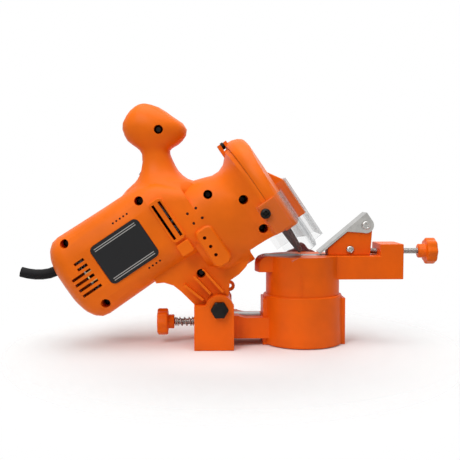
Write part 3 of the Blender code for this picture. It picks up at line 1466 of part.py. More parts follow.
def make_wheel_cover():
    """Front cover over the disc, with the hub bulge, side cheeks and top lug."""
    parting = FLANGE_FRONT + PARTING
    depth = COVER_FRONT - parting
    rings = [
        section(
            parting + depth * share, COVER_TOP * size, -COVER_TOP * size, COVER_HALF_WIDTH * size,
            COVER_BOXINESS, 32,
        )
        for share, size in COVER_RING_SHARES
    ]
    cover = piece("wheel_cover", loft(rings), "orange_plastic", HEAD)
    deep = COVER_TOP + OVERRUN
    for index, side in enumerate((-1, 1)):
        outline = [
            (COVER_FRONT + GAP, side * COVER_FLAT_HALF),
            (COVER_FRONT - depth * 0.3, side * COVER_HALF_WIDTH * 0.92),
            (COVER_FRONT - depth * 0.58, side * COVER_HALF_WIDTH * 1.02),
            (COVER_FRONT - depth * 0.58, side * deep),
            (COVER_FRONT + OVERRUN, side * deep),
            (COVER_FRONT + OVERRUN, side * COVER_FLAT_HALF),
        ]
        cut(cover, tool(f"cover_facet_{index}", slab([outline], -deep, deep, "XY"), HEAD))
    bulge_outline = [
        (COVER_FRONT - COVER_WALL, BULGE_TOP),
        (COVER_FRONT, BULGE_TOP),
        (BULGE_FRONT, BULGE_FACE_TOP),
        (BULGE_FRONT, COVER_UNDERSIDE - OVERRUN),
        (COVER_FRONT - COVER_WALL, COVER_UNDERSIDE - OVERRUN),
    ]
    bulge = tool("cover_bulge", slab([bulge_outline], -BULGE_HALF_WIDTH, BULGE_HALF_WIDTH), HEAD)
    soften(bulge, EDGE)
    join(cover, bulge)
    make_cheeks(cover, parting)
    lug_front = parting + COVER_LUG_THICKNESS
    lug = box(
        (parting, -COVER_LUG_WIDTH / 2, COVER_TOP - OVERRUN), (lug_front, COVER_LUG_WIDTH / 2, COVER_LUG_TOP)
    )
    join(cover, tool("cover_top_lug", lug, HEAD))

    inner_front = COVER_FRONT - COVER_WALL
    hollow = loft([
        section(
            parting - EDGE, COVER_TOP - 2 * COVER_WALL, -COVER_TOP, COVER_HALF_WIDTH - 1.5 * COVER_WALL,
            COVER_BOXINESS, 32,
        ),
        section((parting + inner_front) / 2, COVER_TOP - 2 * COVER_WALL, -COVER_TOP,
                COVER_HALF_WIDTH - 1.5 * COVER_WALL, COVER_BOXINESS, 32),
        section(
            inner_front, COVER_TOP - 3 * COVER_WALL, -COVER_TOP, COVER_FLAT_HALF + 3 * COVER_WALL,
            COVER_BOXINESS, 32,
        ),
    ])
    inset = COVER_WALL * 0.9
    inner_bulge = [
        (0, BULGE_TOP - COVER_WALL),
        (COVER_FRONT - EDGE, BULGE_TOP - COVER_WALL),
        (BULGE_FRONT - inset, BULGE_FACE_TOP - EDGE),
        (BULGE_FRONT - inset, COVER_UNDERSIDE - 2 * OVERRUN),
        (0, COVER_UNDERSIDE - 2 * OVERRUN),
    ]
    bulge_half = BULGE_HALF_WIDTH - inset
    underside = box(
        (CHEEK_REAR - OVERRUN, -deep, -2 * COVER_TOP),
        (BULGE_FRONT + OVERRUN, deep, COVER_UNDERSIDE),
    )
    lug_z = (FLANGE_TOP + EDGE + COVER_LUG_TOP) / 2
    cut(
        cover,
        tool("cover_hollow", hollow, HEAD),
        tool("cover_bulge_hollow", slab([inner_bulge], -bulge_half, bulge_half), HEAD),
        tool("cover_cut", underside, HEAD),
        tool(
            "cover_lug_bore",
            along(SCREW_RADIUS + PILOT_ROOM, lug_z, parting - EDGE, parting + COVER_LUG_THICKNESS * 0.8, 12),
            HEAD,
        ),
    )
    collar_rear = COVER_LUG_REAR + COVER_LUG_THICKNESS + GAP
    collar_front = parting - GAP
    profile = (
        (0, parting + COVER_LUG_THICKNESS * 0.6),
        (SCREW_RADIUS, parting + COVER_LUG_THICKNESS * 0.6),
        (SCREW_RADIUS, collar_front),
        (SCREW_HEAD_RADIUS * 0.9, collar_front),
        (SCREW_HEAD_RADIUS * 0.9, collar_rear),
        (SCREW_RADIUS, collar_rear),
        (SCREW_RADIUS, COVER_LUG_REAR),
        (0, COVER_LUG_REAR),
    )
    screw = piece(
        "cover_screw", bpy.data.meshes.new("cover_screw"), "dark_steel", HEAD, AXIAL, (0, 0, lug_z)
    )
    turned(screw, profile, closed=False, steps=12)


def make_cheeks(cover, parting):
    """Side cheeks that reach back over the flange and take the guard's screws."""
    flange_room = loft([
        section(x, FLANGE_TOP + GAP, -FLANGE_TOP - GAP, FLANGE_HALF_WIDTH + GAP, COVER_BOXINESS)
        for x in (CHEEK_REAR - OVERRUN, parting)
    ])
    for name, side in (("near", -1), ("far", 1)):
        inner, outer = side * CHEEK_INNER, side * CHEEK_OUTER
        mesh = box(
            (CHEEK_REAR, min(inner, outer), CHEEK_BOTTOM),
            (CHEEK_FRONT, max(inner, outer), CHEEK_TOP),
        )
        cheek = soften(tool("cheek_" + name, mesh, HEAD), SMALL_EDGE)
        cut(cheek, tool("flange_room_" + name, flange_room, HEAD))
        join(cover, cheek)
        hole = across(GUARD_SCREW_RADIUS + GAP, GUARD_SCREW_X, GUARD_SCREW_Z,
                      min(inner, side * (CHEEK_OUTER + OVERRUN)), max(
                          inner, side * (CHEEK_OUTER + OVERRUN)
                      ), 12)
        cut(cover, tool("cheek_hole_" + name, hole, HEAD))


def guard_half():
    """Outer corners of one side of the guard, from its rear edge to the middle."""
    return [
        (GUARD_REAR, GUARD_HALF_WIDTH),
        (GUARD_SIDE_FRONT, GUARD_HALF_WIDTH),
        (GUARD_BEVEL_FRONT, GUARD_BEVEL_HALF),
        (GUARD_BOX_FOOT, GUARD_BOX_FOOT_HALF),
        (GUARD_BOX_FRONT, GUARD_BOX_HALF),
    ]


def make_guard():
    """Clear faceted guard: an open channel round the disc, with a box over the hub."""
    half = guard_half()
    outer = half + [(x, -y) for x, y in reversed(half)]
    inner = []
    for index, (x, y) in enumerate(outer):
        before = Vector(outer[index]) - Vector(outer[index - 1]) if index else None
        after = Vector(outer[index + 1]) - Vector((x, y)) if index + 1 < len(outer) else None
        sides = [Vector((step.y, -step.x)).normalized() for step in (before, after) if step is not None]
        mitre = sum(sides, Vector((0, 0))).normalized()
        inner.append(tuple(Vector((x, y)) + mitre * GUARD_WALL / mitre.dot(sides[0])))
    guard = piece(
        "clear_guard", slab([outer + inner[::-1]], GUARD_BOTTOM, GUARD_TOP, "XY"), "clear_plastic", HEAD
    )
    wide = GUARD_HALF_WIDTH + OVERRUN
    edge = GUARD_BOX_FOOT_HALF + GUARD_WALL
    for name, low, high in (("near", -wide, -edge), ("far", edge, wide)):
        top = box(
            (GUARD_REAR - OVERRUN, low, GUARD_SIDE_TOP),
            (GUARD_BOX_FRONT + OVERRUN, high, GUARD_TOP + OVERRUN),
        )
        cut(guard, tool("guard_top_" + name, top, HEAD))
    hole = across(GUARD_SCREW_RADIUS + GAP, GUARD_SCREW_X, GUARD_SCREW_Z, -wide, wide, 12)
    cut(guard, tool("guard_screw_holes", hole, HEAD))
    for name, turn, side in (("near", TOWARDS_FRONT, -1), ("far", TOWARDS_BACK, 1)):
        screw = pan_screw(
            "guard_screw_" + name, HEAD, GUARD_SCREW_RADIUS, GUARD_SCREW_HEAD_RADIUS,
            GUARD_SCREW_HEAD_HEIGHT, GUARD_SCREW_LENGTH,
            (GUARD_SCREW_X, side * (GUARD_HALF_WIDTH + GAP), GUARD_SCREW_Z), "dark_steel")
        screw.rotation_euler = turn


def switch_pocket():
    """Hollow in the neck for the switch and its bezel."""
    long = SWITCH_LENGTH / 2 + GAP
    wide = SWITCH_WIDTH / 2 + GAP
    return box((-SWITCH_DEPTH - GAP, -wide, -long), (OVERRUN, wide, long))


def make_switch():
    """Small rocker switch in the rear of the neck."""
    long = SWITCH_LENGTH / 2
    wide = SWITCH_WIDTH / 2
    body = piece(
        "switch_body", box((-SWITCH_DEPTH, -wide, -long), (BEZEL_THICKNESS, wide, long)), "black_plastic",
        SWITCH,
    )
    room_long = ROCKER_LENGTH / 2 + GAP
    room_wide = ROCKER_WIDTH / 2 + GAP
    room = box((-ROCKER_DEPTH - ROCKER_ROOM, -room_wide, -room_long), (OVERRUN, room_wide, room_long))
    cut(body, tool("rocker_room", room, SWITCH))
    half = ROCKER_LENGTH / 2 - BEZEL_MARGIN
    outline = [
        (-ROCKER_DEPTH, -half * 0.7),
        (BEZEL_THICKNESS * 0.5, -half),
        (ROCKER_RISE * 0.55, 0),
        (ROCKER_RISE, half),
        (-ROCKER_DEPTH, half * 0.7),
    ]
    rocker = slab([outline], -ROCKER_WIDTH / 2, ROCKER_WIDTH / 2)
    soften(piece("rocker", rocker, "black_plastic", SWITCH), SMALL_EDGE / 2)


def sleeve_points():
    """Route of the strain relief, out of the case and gently up."""
    start = Vector((CASE_REAR + SLEEVE_INSET, 0, CASE_FLOOR + CASE_HEIGHT * SLEEVE_HEIGHT_SHARE))
    start.rotate(Matrix.Rotation(-TILT, 3, "Y"))
    start += Vector((SPINDLE_X - PIVOT_X, 0, SPINDLE_Z - PIVOT_Z))
    return [tuple(start + SLEEVE_LENGTH * Vector((x, 0, z))) for x, z in SLEEVE_SHARES]


def make_strain_relief():
    """Rubber sleeve at the rear of the case, hollow at its end."""
    points = sleeve_points()
    sleeve = piece("strain_relief", tube(points, SLEEVE_RADIUS), "rubber", PIVOT)
    end = Vector(points[-1])
    inward = (Vector(points[-2]) - end).normalized()
    bore = rod(end - inward * EDGE, end + inward * SLEEVE_BORE_DEPTH, SLEEVE_BORE_RADIUS, sides=10)
    cut(sleeve, tool("sleeve_bore", bore, PIVOT))


def make_stator():
    """Stator core with four coil slots and two field coils, fixed in the case."""
    front = STATOR_REAR + STATOR_LENGTH
    loops = [polygon(STATOR_RADIUS, FINE_ROUND), polygon(STATOR_BORE_RADIUS, FINE_ROUND)]
    core = piece("stator_core", slab(loops, STATOR_REAR, front, "YZ"), "dark_steel", MOTOR)
    for index in range(4):
        angle = COIL_HALF_ANGLE + index * math.radians(90)
        y, z = COIL_RADIUS * math.cos(angle), COIL_RADIUS * math.sin(angle)
        slot = rod(
            (STATOR_REAR - OVERRUN, y, z), (front + OVERRUN, y, z), COIL_TUBE_RADIUS + COIL_SLOT_ROOM,
            sides=12,
        )
        cut(core, tool(f"coil_slot_{index}", slot, MOTOR))
    for name, start in (("field_coil_upper", math.radians(90)), ("field_coil_lower", math.radians(270))):
        rear_x, front_x = STATOR_REAR - COIL_OVERHANG, front + COIL_OVERHANG
        angles = np.linspace(start - COIL_HALF_ANGLE, start + COIL_HALF_ANGLE, 7)
        route = [(front_x, COIL_RADIUS * math.cos(a), COIL_RADIUS * math.sin(a)) for a in angles]
        route += [(rear_x, COIL_RADIUS * math.cos(a), COIL_RADIUS * math.sin(a)) for a in angles[::-1]]
        piece(name, tube(route, COIL_TUBE_RADIUS, closed=True), "copper", MOTOR)


def make_bearings():
    """Four ball bearings as plain rings."""
    places = (
        ("armature_bearing_rear", MOTOR, REAR_BEARING_REAR, BEARING_BORE_RADIUS),
        ("armature_bearing_front", MOTOR, FRONT_BEARING_REAR, BEARING_BORE_RADIUS),
        ("spindle_bearing_rear", HEAD, FRONT_BEARING_REAR, BEARING_BORE_RADIUS),
        ("spindle_bearing_front", HEAD, SPINDLE_BEARING_REAR, SPINDLE_RADIUS + GAP),
    )
    for name, parent, rear, bore in places:
        ring = piece(name, bpy.data.meshes.new(name), "steel", parent, AXIAL, (rear, 0, 0))
        turned(ring, ring_profile(bore, BEARING_RADIUS, 0, BEARING_WIDTH), steps=20)


def make_brushes():
    """Carbon brushes in brass holders on both sides of the commutator."""
    x = COMMUTATOR_REAR + COMMUTATOR_LENGTH / 2
    wide, high = BRUSH_WIDTH / 2, BRUSH_HEIGHT / 2
    shell = HOLDER_WALL + GAP
    inner = COMMUTATOR_RADIUS + GAP
    for name, side in (("near", -1), ("far", 1)):
        ends = sorted((side * HOLDER_INNER, side * HOLDER_OUTER))
        holder = box((x - wide - shell, ends[0], -high - shell), (x + wide + shell, ends[1], high + shell))
        holder_piece = piece("brush_holder_" + name, holder, "brass", MOTOR)
        bore = box(
            (x - wide - GAP, ends[0] - OVERRUN, -high - GAP), (x + wide + GAP, ends[1] + OVERRUN, high + GAP)
        )
        cut(holder_piece, tool("holder_bore_" + name, bore, MOTOR))
        brush_ends = sorted((side * inner, side * (inner + BRUSH_LENGTH)))
        brush = box((x - wide, brush_ends[0], -high), (x + wide, brush_ends[1], high))
        piece("carbon_brush_" + name, brush, "carbon", MOTOR)


def make_armature():
    """Shaft with core, commutator, fan and pinion."""
    shaft_end = GEAR_REAR + GEAR_WIDTH + 2 * PINION_OVERHANG
    piece("armature_shaft", along(SHAFT_RADIUS, 0, SHAFT_REAR, shaft_end), "steel", MOTOR)
    bore = SHAFT_RADIUS + GAP
    outline = []
    for slot in range(CORE_SLOTS):
        for share, radius in ((0.0, CORE_RADIUS), (0.34, CORE_RADIUS), (0.68, CORE_RADIUS),
                              (0.70, CORE_RADIUS - CORE_SLOT_DEPTH), (0.98, CORE_RADIUS - CORE_SLOT_DEPTH)):
            angle = math.tau * (slot + share) / CORE_SLOTS
            outline.append((radius * math.cos(angle), radius * math.sin(angle)))
    core = slab([outline, polygon(bore, 16)], CORE_REAR, CORE_REAR + CORE_LENGTH, "YZ")
    piece("armature_core", core, "dark_steel", MOTOR)
    riser = COMMUTATOR_RADIUS + COMMUTATOR_RISER
    profile = (
        (riser, COMMUTATOR_LENGTH),
        (riser, COMMUTATOR_LENGTH - COMMUTATOR_RISER),
        (COMMUTATOR_RADIUS, COMMUTATOR_LENGTH - COMMUTATOR_RISER),
        (COMMUTATOR_RADIUS, 0),
        (bore, 0),
        (bore, COMMUTATOR_LENGTH),
    )
    commutator = piece(
        "commutator", bpy.data.meshes.new("commutator"), "copper", MOTOR, AXIAL, (COMMUTATOR_REAR, 0, 0)
    )
    turned(commutator, profile, steps=ROUND)
    make_fan(bore)
    mesh_angle = -math.radians(90) + math.pi / PINION_TEETH
    teeth = tooth_outline(PINION_TEETH, mesh_angle)
    pinion = slab(
        [teeth, polygon(bore, 16)], GEAR_REAR - PINION_OVERHANG, GEAR_REAR + GEAR_WIDTH + PINION_OVERHANG,
        "YZ",
    )
    piece("pinion", pinion, "steel", MOTOR)


def make_fan(bore):
    """Cooling fan: a disc with straight radial blades and a hub."""
    front = FAN_REAR + FAN_LENGTH
    fan = piece(
        "fan", slab([polygon(FAN_RADIUS, 32)], front - FAN_PLATE, front, "YZ"), "black_plastic", MOTOR
    )
    join(fan, tool("fan_hub", along(FAN_HUB_RADIUS, 0, FAN_REAR, front - EDGE / 3), MOTOR))
    for blade in range(FAN_BLADES):
        mesh = box(
            (FAN_REAR + EDGE, -FAN_BLADE_THICKNESS / 2, FAN_HUB_RADIUS - EDGE),
            (front - FAN_PLATE / 2, FAN_BLADE_THICKNESS / 2, FAN_RADIUS - SMALL_EDGE),
        )
        mesh.transform(Matrix.Rotation(math.tau * blade / FAN_BLADES, 4, "X"))
        join(fan, tool(f"fan_blade_{blade}", mesh, MOTOR))
    cut(fan, tool("fan_bore", along(bore, 0, FAN_REAR - OVERRUN, front + OVERRUN), MOTOR))


def make_spindle():
    """Spindle with the large gear, the two flanges, the disc and its nut."""
    half = DISC_THICKNESS / 2
    bearing_end = FRONT_BEARING_REAR + BEARING_WIDTH
    profile = (
        (0, SPINDLE_FRONT),
        (SPINDLE_RADIUS - SMALL_EDGE, SPINDLE_FRONT),
        (SPINDLE_RADIUS, SPINDLE_FRONT - SMALL_EDGE),
        (SPINDLE_RADIUS, bearing_end + GAP),
        (SHAFT_RADIUS, bearing_end + GAP),
        (SHAFT_RADIUS, FRONT_BEARING_REAR),
        (0, FRONT_BEARING_REAR),
    )
    shaft = piece("spindle_shaft", bpy.data.meshes.new("spindle_shaft"), "steel", HEAD, AXIAL)
    turned(shaft, profile, closed=False)
    bore = SPINDLE_RADIUS + GAP
    teeth = tooth_outline(GEAR_TEETH, math.radians(90))
    gear = piece(
        "drive_gear", slab([teeth, polygon(bore, ROUND)], GEAR_REAR, GEAR_REAR + GEAR_WIDTH, "YZ"), "steel",
        HEAD,
    )
    web = MODULE * (GEAR_TEETH / 2 - 3)
    for name, low, high in (
        ("rear", GEAR_REAR - EDGE, GEAR_REAR + EDGE),
        ("front", GEAR_REAR + GEAR_WIDTH - EDGE, GEAR_REAR + GEAR_WIDTH + EDGE),
    ):
        groove = tool("gear_web_" + name, bpy.data.meshes.new("web"), HEAD, AXIAL)
        turned(groove, ring_profile(2 * SPINDLE_RADIUS, web, low, high))
        cut(gear, groove)

    flange = piece("inner_flange", bpy.data.meshes.new("inner_flange"), "steel", HEAD, AXIAL)
    front = -half - GAP
    turned(flange, (
        (INNER_FLANGE_RADIUS, front),
        (INNER_FLANGE_RADIUS, front - INNER_FLANGE_PLATE),
        (INNER_FLANGE_HUB_RADIUS, front - INNER_FLANGE_PLATE),
        (INNER_FLANGE_HUB_RADIUS, front - INNER_FLANGE_DEPTH),
        (bore, front - INNER_FLANGE_DEPTH),
        (bore, front),
    ))
    disc = piece("grinding_disc", bpy.data.meshes.new("grinding_disc"), "abrasive", HEAD, AXIAL)
    turned(disc, ring_profile(DISC_BORE_RADIUS, DISC_RADIUS, -half, half), steps=FINE_ROUND)
    outer = piece("outer_flange", bpy.data.meshes.new("outer_flange"), "steel", HEAD, AXIAL)
    rear = half + GAP
    turned(outer, ring_profile(bore, OUTER_FLANGE_RADIUS, rear, rear + OUTER_FLANGE_THICKNESS))
    nut_rear = rear + OUTER_FLANGE_THICKNESS + GAP
    make_hex(
        "spindle_nut", "steel", HEAD, SPINDLE_NUT_RADIUS, nut_rear, nut_rear + SPINDLE_NUT_HEIGHT, bore, "YZ"
    )


def main():
    """Build the sharpener from the bench up."""
    make_base()
    make_depth_stop()
    make_table()
    make_chain_stop()
    make_housing()
    make_wheel_cover()
    make_guard()
    make_switch()
    make_strain_relief()
    make_stator()
    make_bearings()
    make_brushes()
    make_armature()
    make_spindle()


main()
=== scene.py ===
"""Look of the electric chainsaw sharpener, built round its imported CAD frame.

Every sub-assembly is a class: its sizes are fields, its methods build meshes as whole
arrays and give each piece and each CAD node its finish. Lengths are in metres. The row
frame has +X towards the chain stop, -Y towards the front and +Z up.
"""

from __future__ import annotations

import json
import logging
import math
from dataclasses import dataclass, field
from enum import Enum

import bpy
import numpy as np
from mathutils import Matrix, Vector

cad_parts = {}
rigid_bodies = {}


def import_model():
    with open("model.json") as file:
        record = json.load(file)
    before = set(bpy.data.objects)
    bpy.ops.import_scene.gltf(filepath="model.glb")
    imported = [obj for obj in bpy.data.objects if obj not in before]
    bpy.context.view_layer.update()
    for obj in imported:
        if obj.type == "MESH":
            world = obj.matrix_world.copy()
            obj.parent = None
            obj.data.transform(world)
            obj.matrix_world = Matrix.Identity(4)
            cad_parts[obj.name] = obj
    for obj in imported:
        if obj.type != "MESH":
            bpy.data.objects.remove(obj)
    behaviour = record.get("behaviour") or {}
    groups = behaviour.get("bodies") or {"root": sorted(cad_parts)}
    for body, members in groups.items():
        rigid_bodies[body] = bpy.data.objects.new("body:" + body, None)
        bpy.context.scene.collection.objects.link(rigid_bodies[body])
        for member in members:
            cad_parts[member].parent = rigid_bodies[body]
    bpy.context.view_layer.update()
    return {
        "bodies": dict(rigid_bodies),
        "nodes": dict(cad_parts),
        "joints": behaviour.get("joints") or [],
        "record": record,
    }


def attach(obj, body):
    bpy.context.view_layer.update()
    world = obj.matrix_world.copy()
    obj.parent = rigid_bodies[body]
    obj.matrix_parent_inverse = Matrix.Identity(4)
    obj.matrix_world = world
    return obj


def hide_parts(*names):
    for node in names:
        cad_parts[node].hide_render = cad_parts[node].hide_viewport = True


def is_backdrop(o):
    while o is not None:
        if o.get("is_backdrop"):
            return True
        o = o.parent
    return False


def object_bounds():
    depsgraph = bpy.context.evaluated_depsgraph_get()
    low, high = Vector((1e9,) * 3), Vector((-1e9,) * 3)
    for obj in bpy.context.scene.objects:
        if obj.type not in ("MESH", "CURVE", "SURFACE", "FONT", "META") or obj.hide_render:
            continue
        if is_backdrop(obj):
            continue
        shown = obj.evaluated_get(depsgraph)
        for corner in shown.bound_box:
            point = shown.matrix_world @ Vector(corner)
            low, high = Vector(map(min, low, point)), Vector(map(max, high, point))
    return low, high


LOG = logging.getLogger("sharpener")
TURN = 2 * math.pi


def circle(count: int) -> np.ndarray:
    """Evenly spaced angles of one turn, without the last."""
    return np.linspace(0, TURN, count, endpoint=False)


class Slot(Enum):
    """Material slots of the record."""

    SHELL = "orange_plastic"
    CASTING = "orange_paint"
    BLACK = "black_plastic"
    RED = "dark_red_plastic"
    RUBBER = "rubber"
    STEEL = "steel"
    DARK_STEEL = "dark_steel"
    COPPER = "copper"
    BRASS = "brass"
    GRIT = "abrasive"
    CARBON = "carbon"
    CLEAR = "clear_plastic"


# Shader values and node trees


class Wire:
    """One shader value that takes part in Python sums."""

    def __init__(self, tree: Tree, socket: bpy.types.NodeSocket) -> None:
        """Keeps the tree and the output socket that carries the value."""
        self.tree = tree
        self.socket = socket

    def __add__(self, other: Wire | float) -> Wire:
        """Sum."""
        return self.tree.math("ADD", self, other)

    __radd__ = __add__

    def __sub__(self, other: Wire | float) -> Wire:
        """Difference."""
        return self.tree.math("SUBTRACT", self, other)

    def __rsub__(self, other: float) -> Wire:
        """Difference from a plain number."""
        return self.tree.math("SUBTRACT", other, self)

    def __mul__(self, other: Wire | float) -> Wire:
        """Product."""
        return self.tree.math("MULTIPLY", self, other)

    __rmul__ = __mul__

    def __pow__(self, other: float) -> Wire:
        """Power."""
        return self.tree.math("POWER", self, other)

    def __abs__(self) -> Wire:
        """Size without its sign."""
        return self.tree.math("ABSOLUTE", self)

    def sine(self) -> Wire:
        """Sine of the value in radians."""
        return self.tree.math("SINE", self)

    def larger(self, other: Wire | float) -> Wire:
        """The larger of two values."""
        return self.tree.math("MAXIMUM", self, other)

    def smaller(self, other: Wire | float) -> Wire:
        """The smaller of two values."""
        return self.tree.math("MINIMUM", self, other)

    def ramp(self, low: float, high: float, start: float = 0.0, end: float = 1.0) -> Wire:
        """Smooth step of the value.

        Args:
            low: Value at which the step starts.
            high: Value at which it ends.
            start: Result below low.
            end: Result above high.

        Returns:
            The stepped value, held between start and end.
        """
        inputs = {"Value": self, "From Min": low, "From Max": high, "To Min": start, "To Max": end}
        return Wire(self.tree, self.tree.node("ShaderNodeMapRange", {"interpolation_type": "SMOOTHSTEP"},
                                              inputs).outputs[0])


class Tree:
    """Node tree of one material or world, with one way to add each kind of node."""

    def __init__(self, owner: bpy.types.Material | bpy.types.World) -> None:
        """Clears the owner's nodes and keeps its tree.

        Args:
            owner: Material or world.
        """
        owner.use_nodes = True
        self.tree = owner.node_tree
        self.tree.nodes.clear()

    def node(self, kind: str, settings: dict | None = None, inputs: dict | None = None) -> bpy.types.Node:
        """Adds a node.

        Args:
            kind: Blender's name of the node type.
            settings: Values of the node's own settings.
            inputs: Values or wires for its sockets, by name or by place.

        Returns:
            The new node.
        """
        made = self.tree.nodes.new(kind)
        for key, value in (settings or {}).items():
            setattr(made, key, value)
        for key, value in (inputs or {}).items():
            socket = made.inputs[key]
            if isinstance(value, Wire):
                self.tree.links.new(value.socket, socket)
            elif value is not None:
                socket.default_value = value
        return made

    def math(self, operation: str, first: Wire | float, second: Wire | float | None = None) -> Wire:
        """One sum of one or two values.

        Args:
            operation: Blender's name of the sum.
            first: First value.
            second: Second value, where the sum has one.

        Returns:
            The result.
        """
        return Wire(self, self.node("ShaderNodeMath", {"operation": operation},
                                    {0: first, 1: second}).outputs[0])

    def place(self) -> Wire:
        """Point on the piece, in its own coordinates."""
        return Wire(self, self.node("ShaderNodeTexCoord").outputs["Object"])

    def parts(self, vector: Wire) -> tuple[Wire, Wire, Wire]:
        """The three parts of a vector."""
        split = self.node("ShaderNodeSeparateXYZ", inputs={0: vector})
        return tuple(Wire(self, socket) for socket in split.outputs)

    def noise(self, vector: Wire, scale: float, detail: float = 2.0, roughness: float = 0.5) -> Wire:
        """Soft noise.

        Args:
            vector: Where it is read.
            scale: Cells in a metre.
            detail: Number of finer layers.
            roughness: Share that each finer layer keeps.

        Returns:
            Noise from 0 to 1.
        """
        inputs = {"Vector": vector, "Scale": scale, "Detail": detail, "Roughness": roughness}
        return Wire(self, self.node("ShaderNodeTexNoise", inputs=inputs).outputs[0])

    def cells(self, vector: Wire, scale: float) -> tuple[Wire, Wire]:
        """Distance to the nearest cell centre, and a random value for each cell.

        Args:
            vector: Where they are read.
            scale: Cells in a metre.

        Returns:
            The distance and the random value.
        """
        made = self.node("ShaderNodeTexVoronoi", inputs={"Vector": vector, "Scale": scale})
        red = self.parts(Wire(self, made.outputs["Color"]))[0]
        return Wire(self, made.outputs["Distance"]), red

    def blend(self, factor: Wire | float, first: Wire | tuple, second: Wire | tuple) -> Wire:
        """Mix of two colours.

        Args:
            factor: Share of the second colour.
            first: First colour, as a wire or three numbers.
            second: Second colour.

        Returns:
            The mixed colour.
        """
        first = first if isinstance(first, Wire) else (*first, 1.0)
        second = second if isinstance(second, Wire) else (*second, 1.0)
        made = self.node("ShaderNodeMix", {"data_type": "RGBA"}, {0: factor, 6: first, 7: second})
        return Wire(self, made.outputs[2])

    def bump(self, height: Wire, distance: float, strength: float = 1.0) -> Wire:
        """Normal bent by a height.

        Args:
            height: Height from 0 to 1.
            distance: Real height of 1, in metres.
            strength: Share of the effect.

        Returns:
            The bent normal.
        """
        inputs = {"Height": height, "Distance": distance, "Strength": strength}
        return Wire(self, self.node("ShaderNodeBump", inputs=inputs).outputs[0])

    def finish(self, inputs: dict) -> bpy.types.Node:
        """Ends the tree with a principled surface.

        Args:
            inputs: Values or wires of its sockets.

        Returns:
            The surface's node.
        """
        surface = self.node("ShaderNodeBsdfPrincipled", inputs=inputs)
        self.node("ShaderNodeOutputMaterial", inputs={0: Wire(self, surface.outputs[0])})
        return surface


# Finishes


@dataclass(frozen=True)
class Finish:
    """A named finish that makes its own material."""

    name: str
    colour: tuple[float, float, float]
    roughness: float

    def material(self) -> bpy.types.Material:
        """The material of this finish, made once."""
        found = bpy.data.materials.get(self.name)
        if found is None:
            found = bpy.data.materials.new(self.name)
            found.diffuse_color = (*self.colour, 1.0)
            self.build(Tree(found))
        return found

    def tint(self, share: float) -> tuple[float, float, float]:
        """The colour times a share."""
        return tuple(share * part for part in self.colour)

    def build(self, tree: Tree) -> None:
        """Fills the tree; each kind of finish has its own."""
        raise NotImplementedError


@dataclass(frozen=True)
class Moulded(Finish):
    """Satin moulded plastic with a fine spark-eroded grain."""

    grain: float = 1900.0
    depth: float = 0.00004
    clouding: float = 0.10
    specular: float = 0.14

    def build(self, tree: Tree) -> None:
        """Grain in the normal, slow clouds in the colour and the roughness.

        Args:
            tree: Tree to fill.
        """
        place = tree.place()
        clouds = tree.noise(place, 26.0, 3.0)
        grain = tree.noise(place, self.grain, 2.0, 0.6)
        tree.finish({
            "Base Color": tree.blend(clouds.ramp(0.35, 0.7), self.tint(1 + self.clouding / 2),
                                     self.tint(1 - self.clouding)),
            "Roughness": self.roughness + (grain - 0.5) * 0.16 + (clouds - 0.5) * 0.08,
            "Specular IOR Level": self.specular,
            "Normal": tree.bump(grain, self.depth),
        })


@dataclass(frozen=True)
class Coated(Finish):
    """Powder coat on a casting, with orange peel and a thin gloss."""

    peel: float = 520.0
    depth: float = 0.00009
    specular: float = 0.12

    def build(self, tree: Tree) -> None:
        """Peel in the normal, and painted shade: the colour darkens over the lowest 12 mm, towards the
        floor, in cloudy patches.

        Args:
            tree: Tree to fill.
        """
        place = tree.place()
        peel = tree.noise(place, self.peel, 3.0, 0.55)
        clouds = tree.noise(place, 34.0, 3.0)
        height = tree.parts(place)[2]
        # Painted shade near the floor: the colour darkens over the lowest 12 mm, in cloudy patches.
        low = height.ramp(0.0, 0.012, 1.0, 0.0) * clouds
        colour = tree.blend(clouds.ramp(0.3, 0.75), self.tint(1.05), self.tint(0.9))
        tree.finish({
            "Base Color": tree.blend(low * 0.4, colour, self.tint(0.55)),
            "Roughness": self.roughness + (peel - 0.5) * 0.2,
            "Specular IOR Level": self.specular,
            "Coat Weight": clouds.ramp(0.3, 0.7, 0.0, 0.08),
            "Coat Roughness": 0.25,
            "Normal": tree.bump(peel, self.depth),
        })


@dataclass(frozen=True)
class Metal(Finish):
    """Bare or blackened metal with fine tool lines along one direction."""

    lines: tuple[float, float, float] = (90.0, 2600.0, 2600.0)
    depth: float = 0.00002
    stain: float = 0.25

    def build(self, tree: Tree) -> None:
        """Noise stretched along the lines, with a slow stain in colour and roughness.

        Args:
            tree: Tree to fill.
        """
        place = tree.place()
        stretched = tree.node("ShaderNodeMapping", inputs={"Vector": place, "Scale": self.lines})
        lines = tree.noise(Wire(tree, stretched.outputs[0]), 1.0, 3.0, 0.7)
        stain = tree.noise(place, 120.0, 4.0, 0.6)
        tree.finish({
            "Base Color": tree.blend(stain.ramp(0.35, 0.8), self.colour, self.tint(1 - self.stain)),
            "Metallic": 1.0,
            "Roughness": self.roughness + (lines - 0.5) * 0.22 + (stain - 0.5) * 0.18,
            "Normal": tree.bump(lines, self.depth),
        })


@dataclass(frozen=True)
class Grit(Finish):
    """Bonded abrasive: grains of two tones in a dark bond."""

    grain: float = 1500.0
    pale: tuple[float, float, float] = (0.20, 0.11, 0.09)

    def build(self, tree: Tree) -> None:
        """Cells coloured at random and raised towards their centres.

        Args:
            tree: Tree to fill.
        """
        place = tree.place()
        distance, pick = tree.cells(place, self.grain)
        fine = tree.noise(place, 5200.0, 2.0)
        tree.finish({
            "Base Color": tree.blend(pick.ramp(0.45, 0.95), self.colour, self.pale),
            "Roughness": self.roughness - pick * 0.15,
            "Normal": tree.bump(fine * 0.4 + 1.0 - distance, 0.00012),
        })


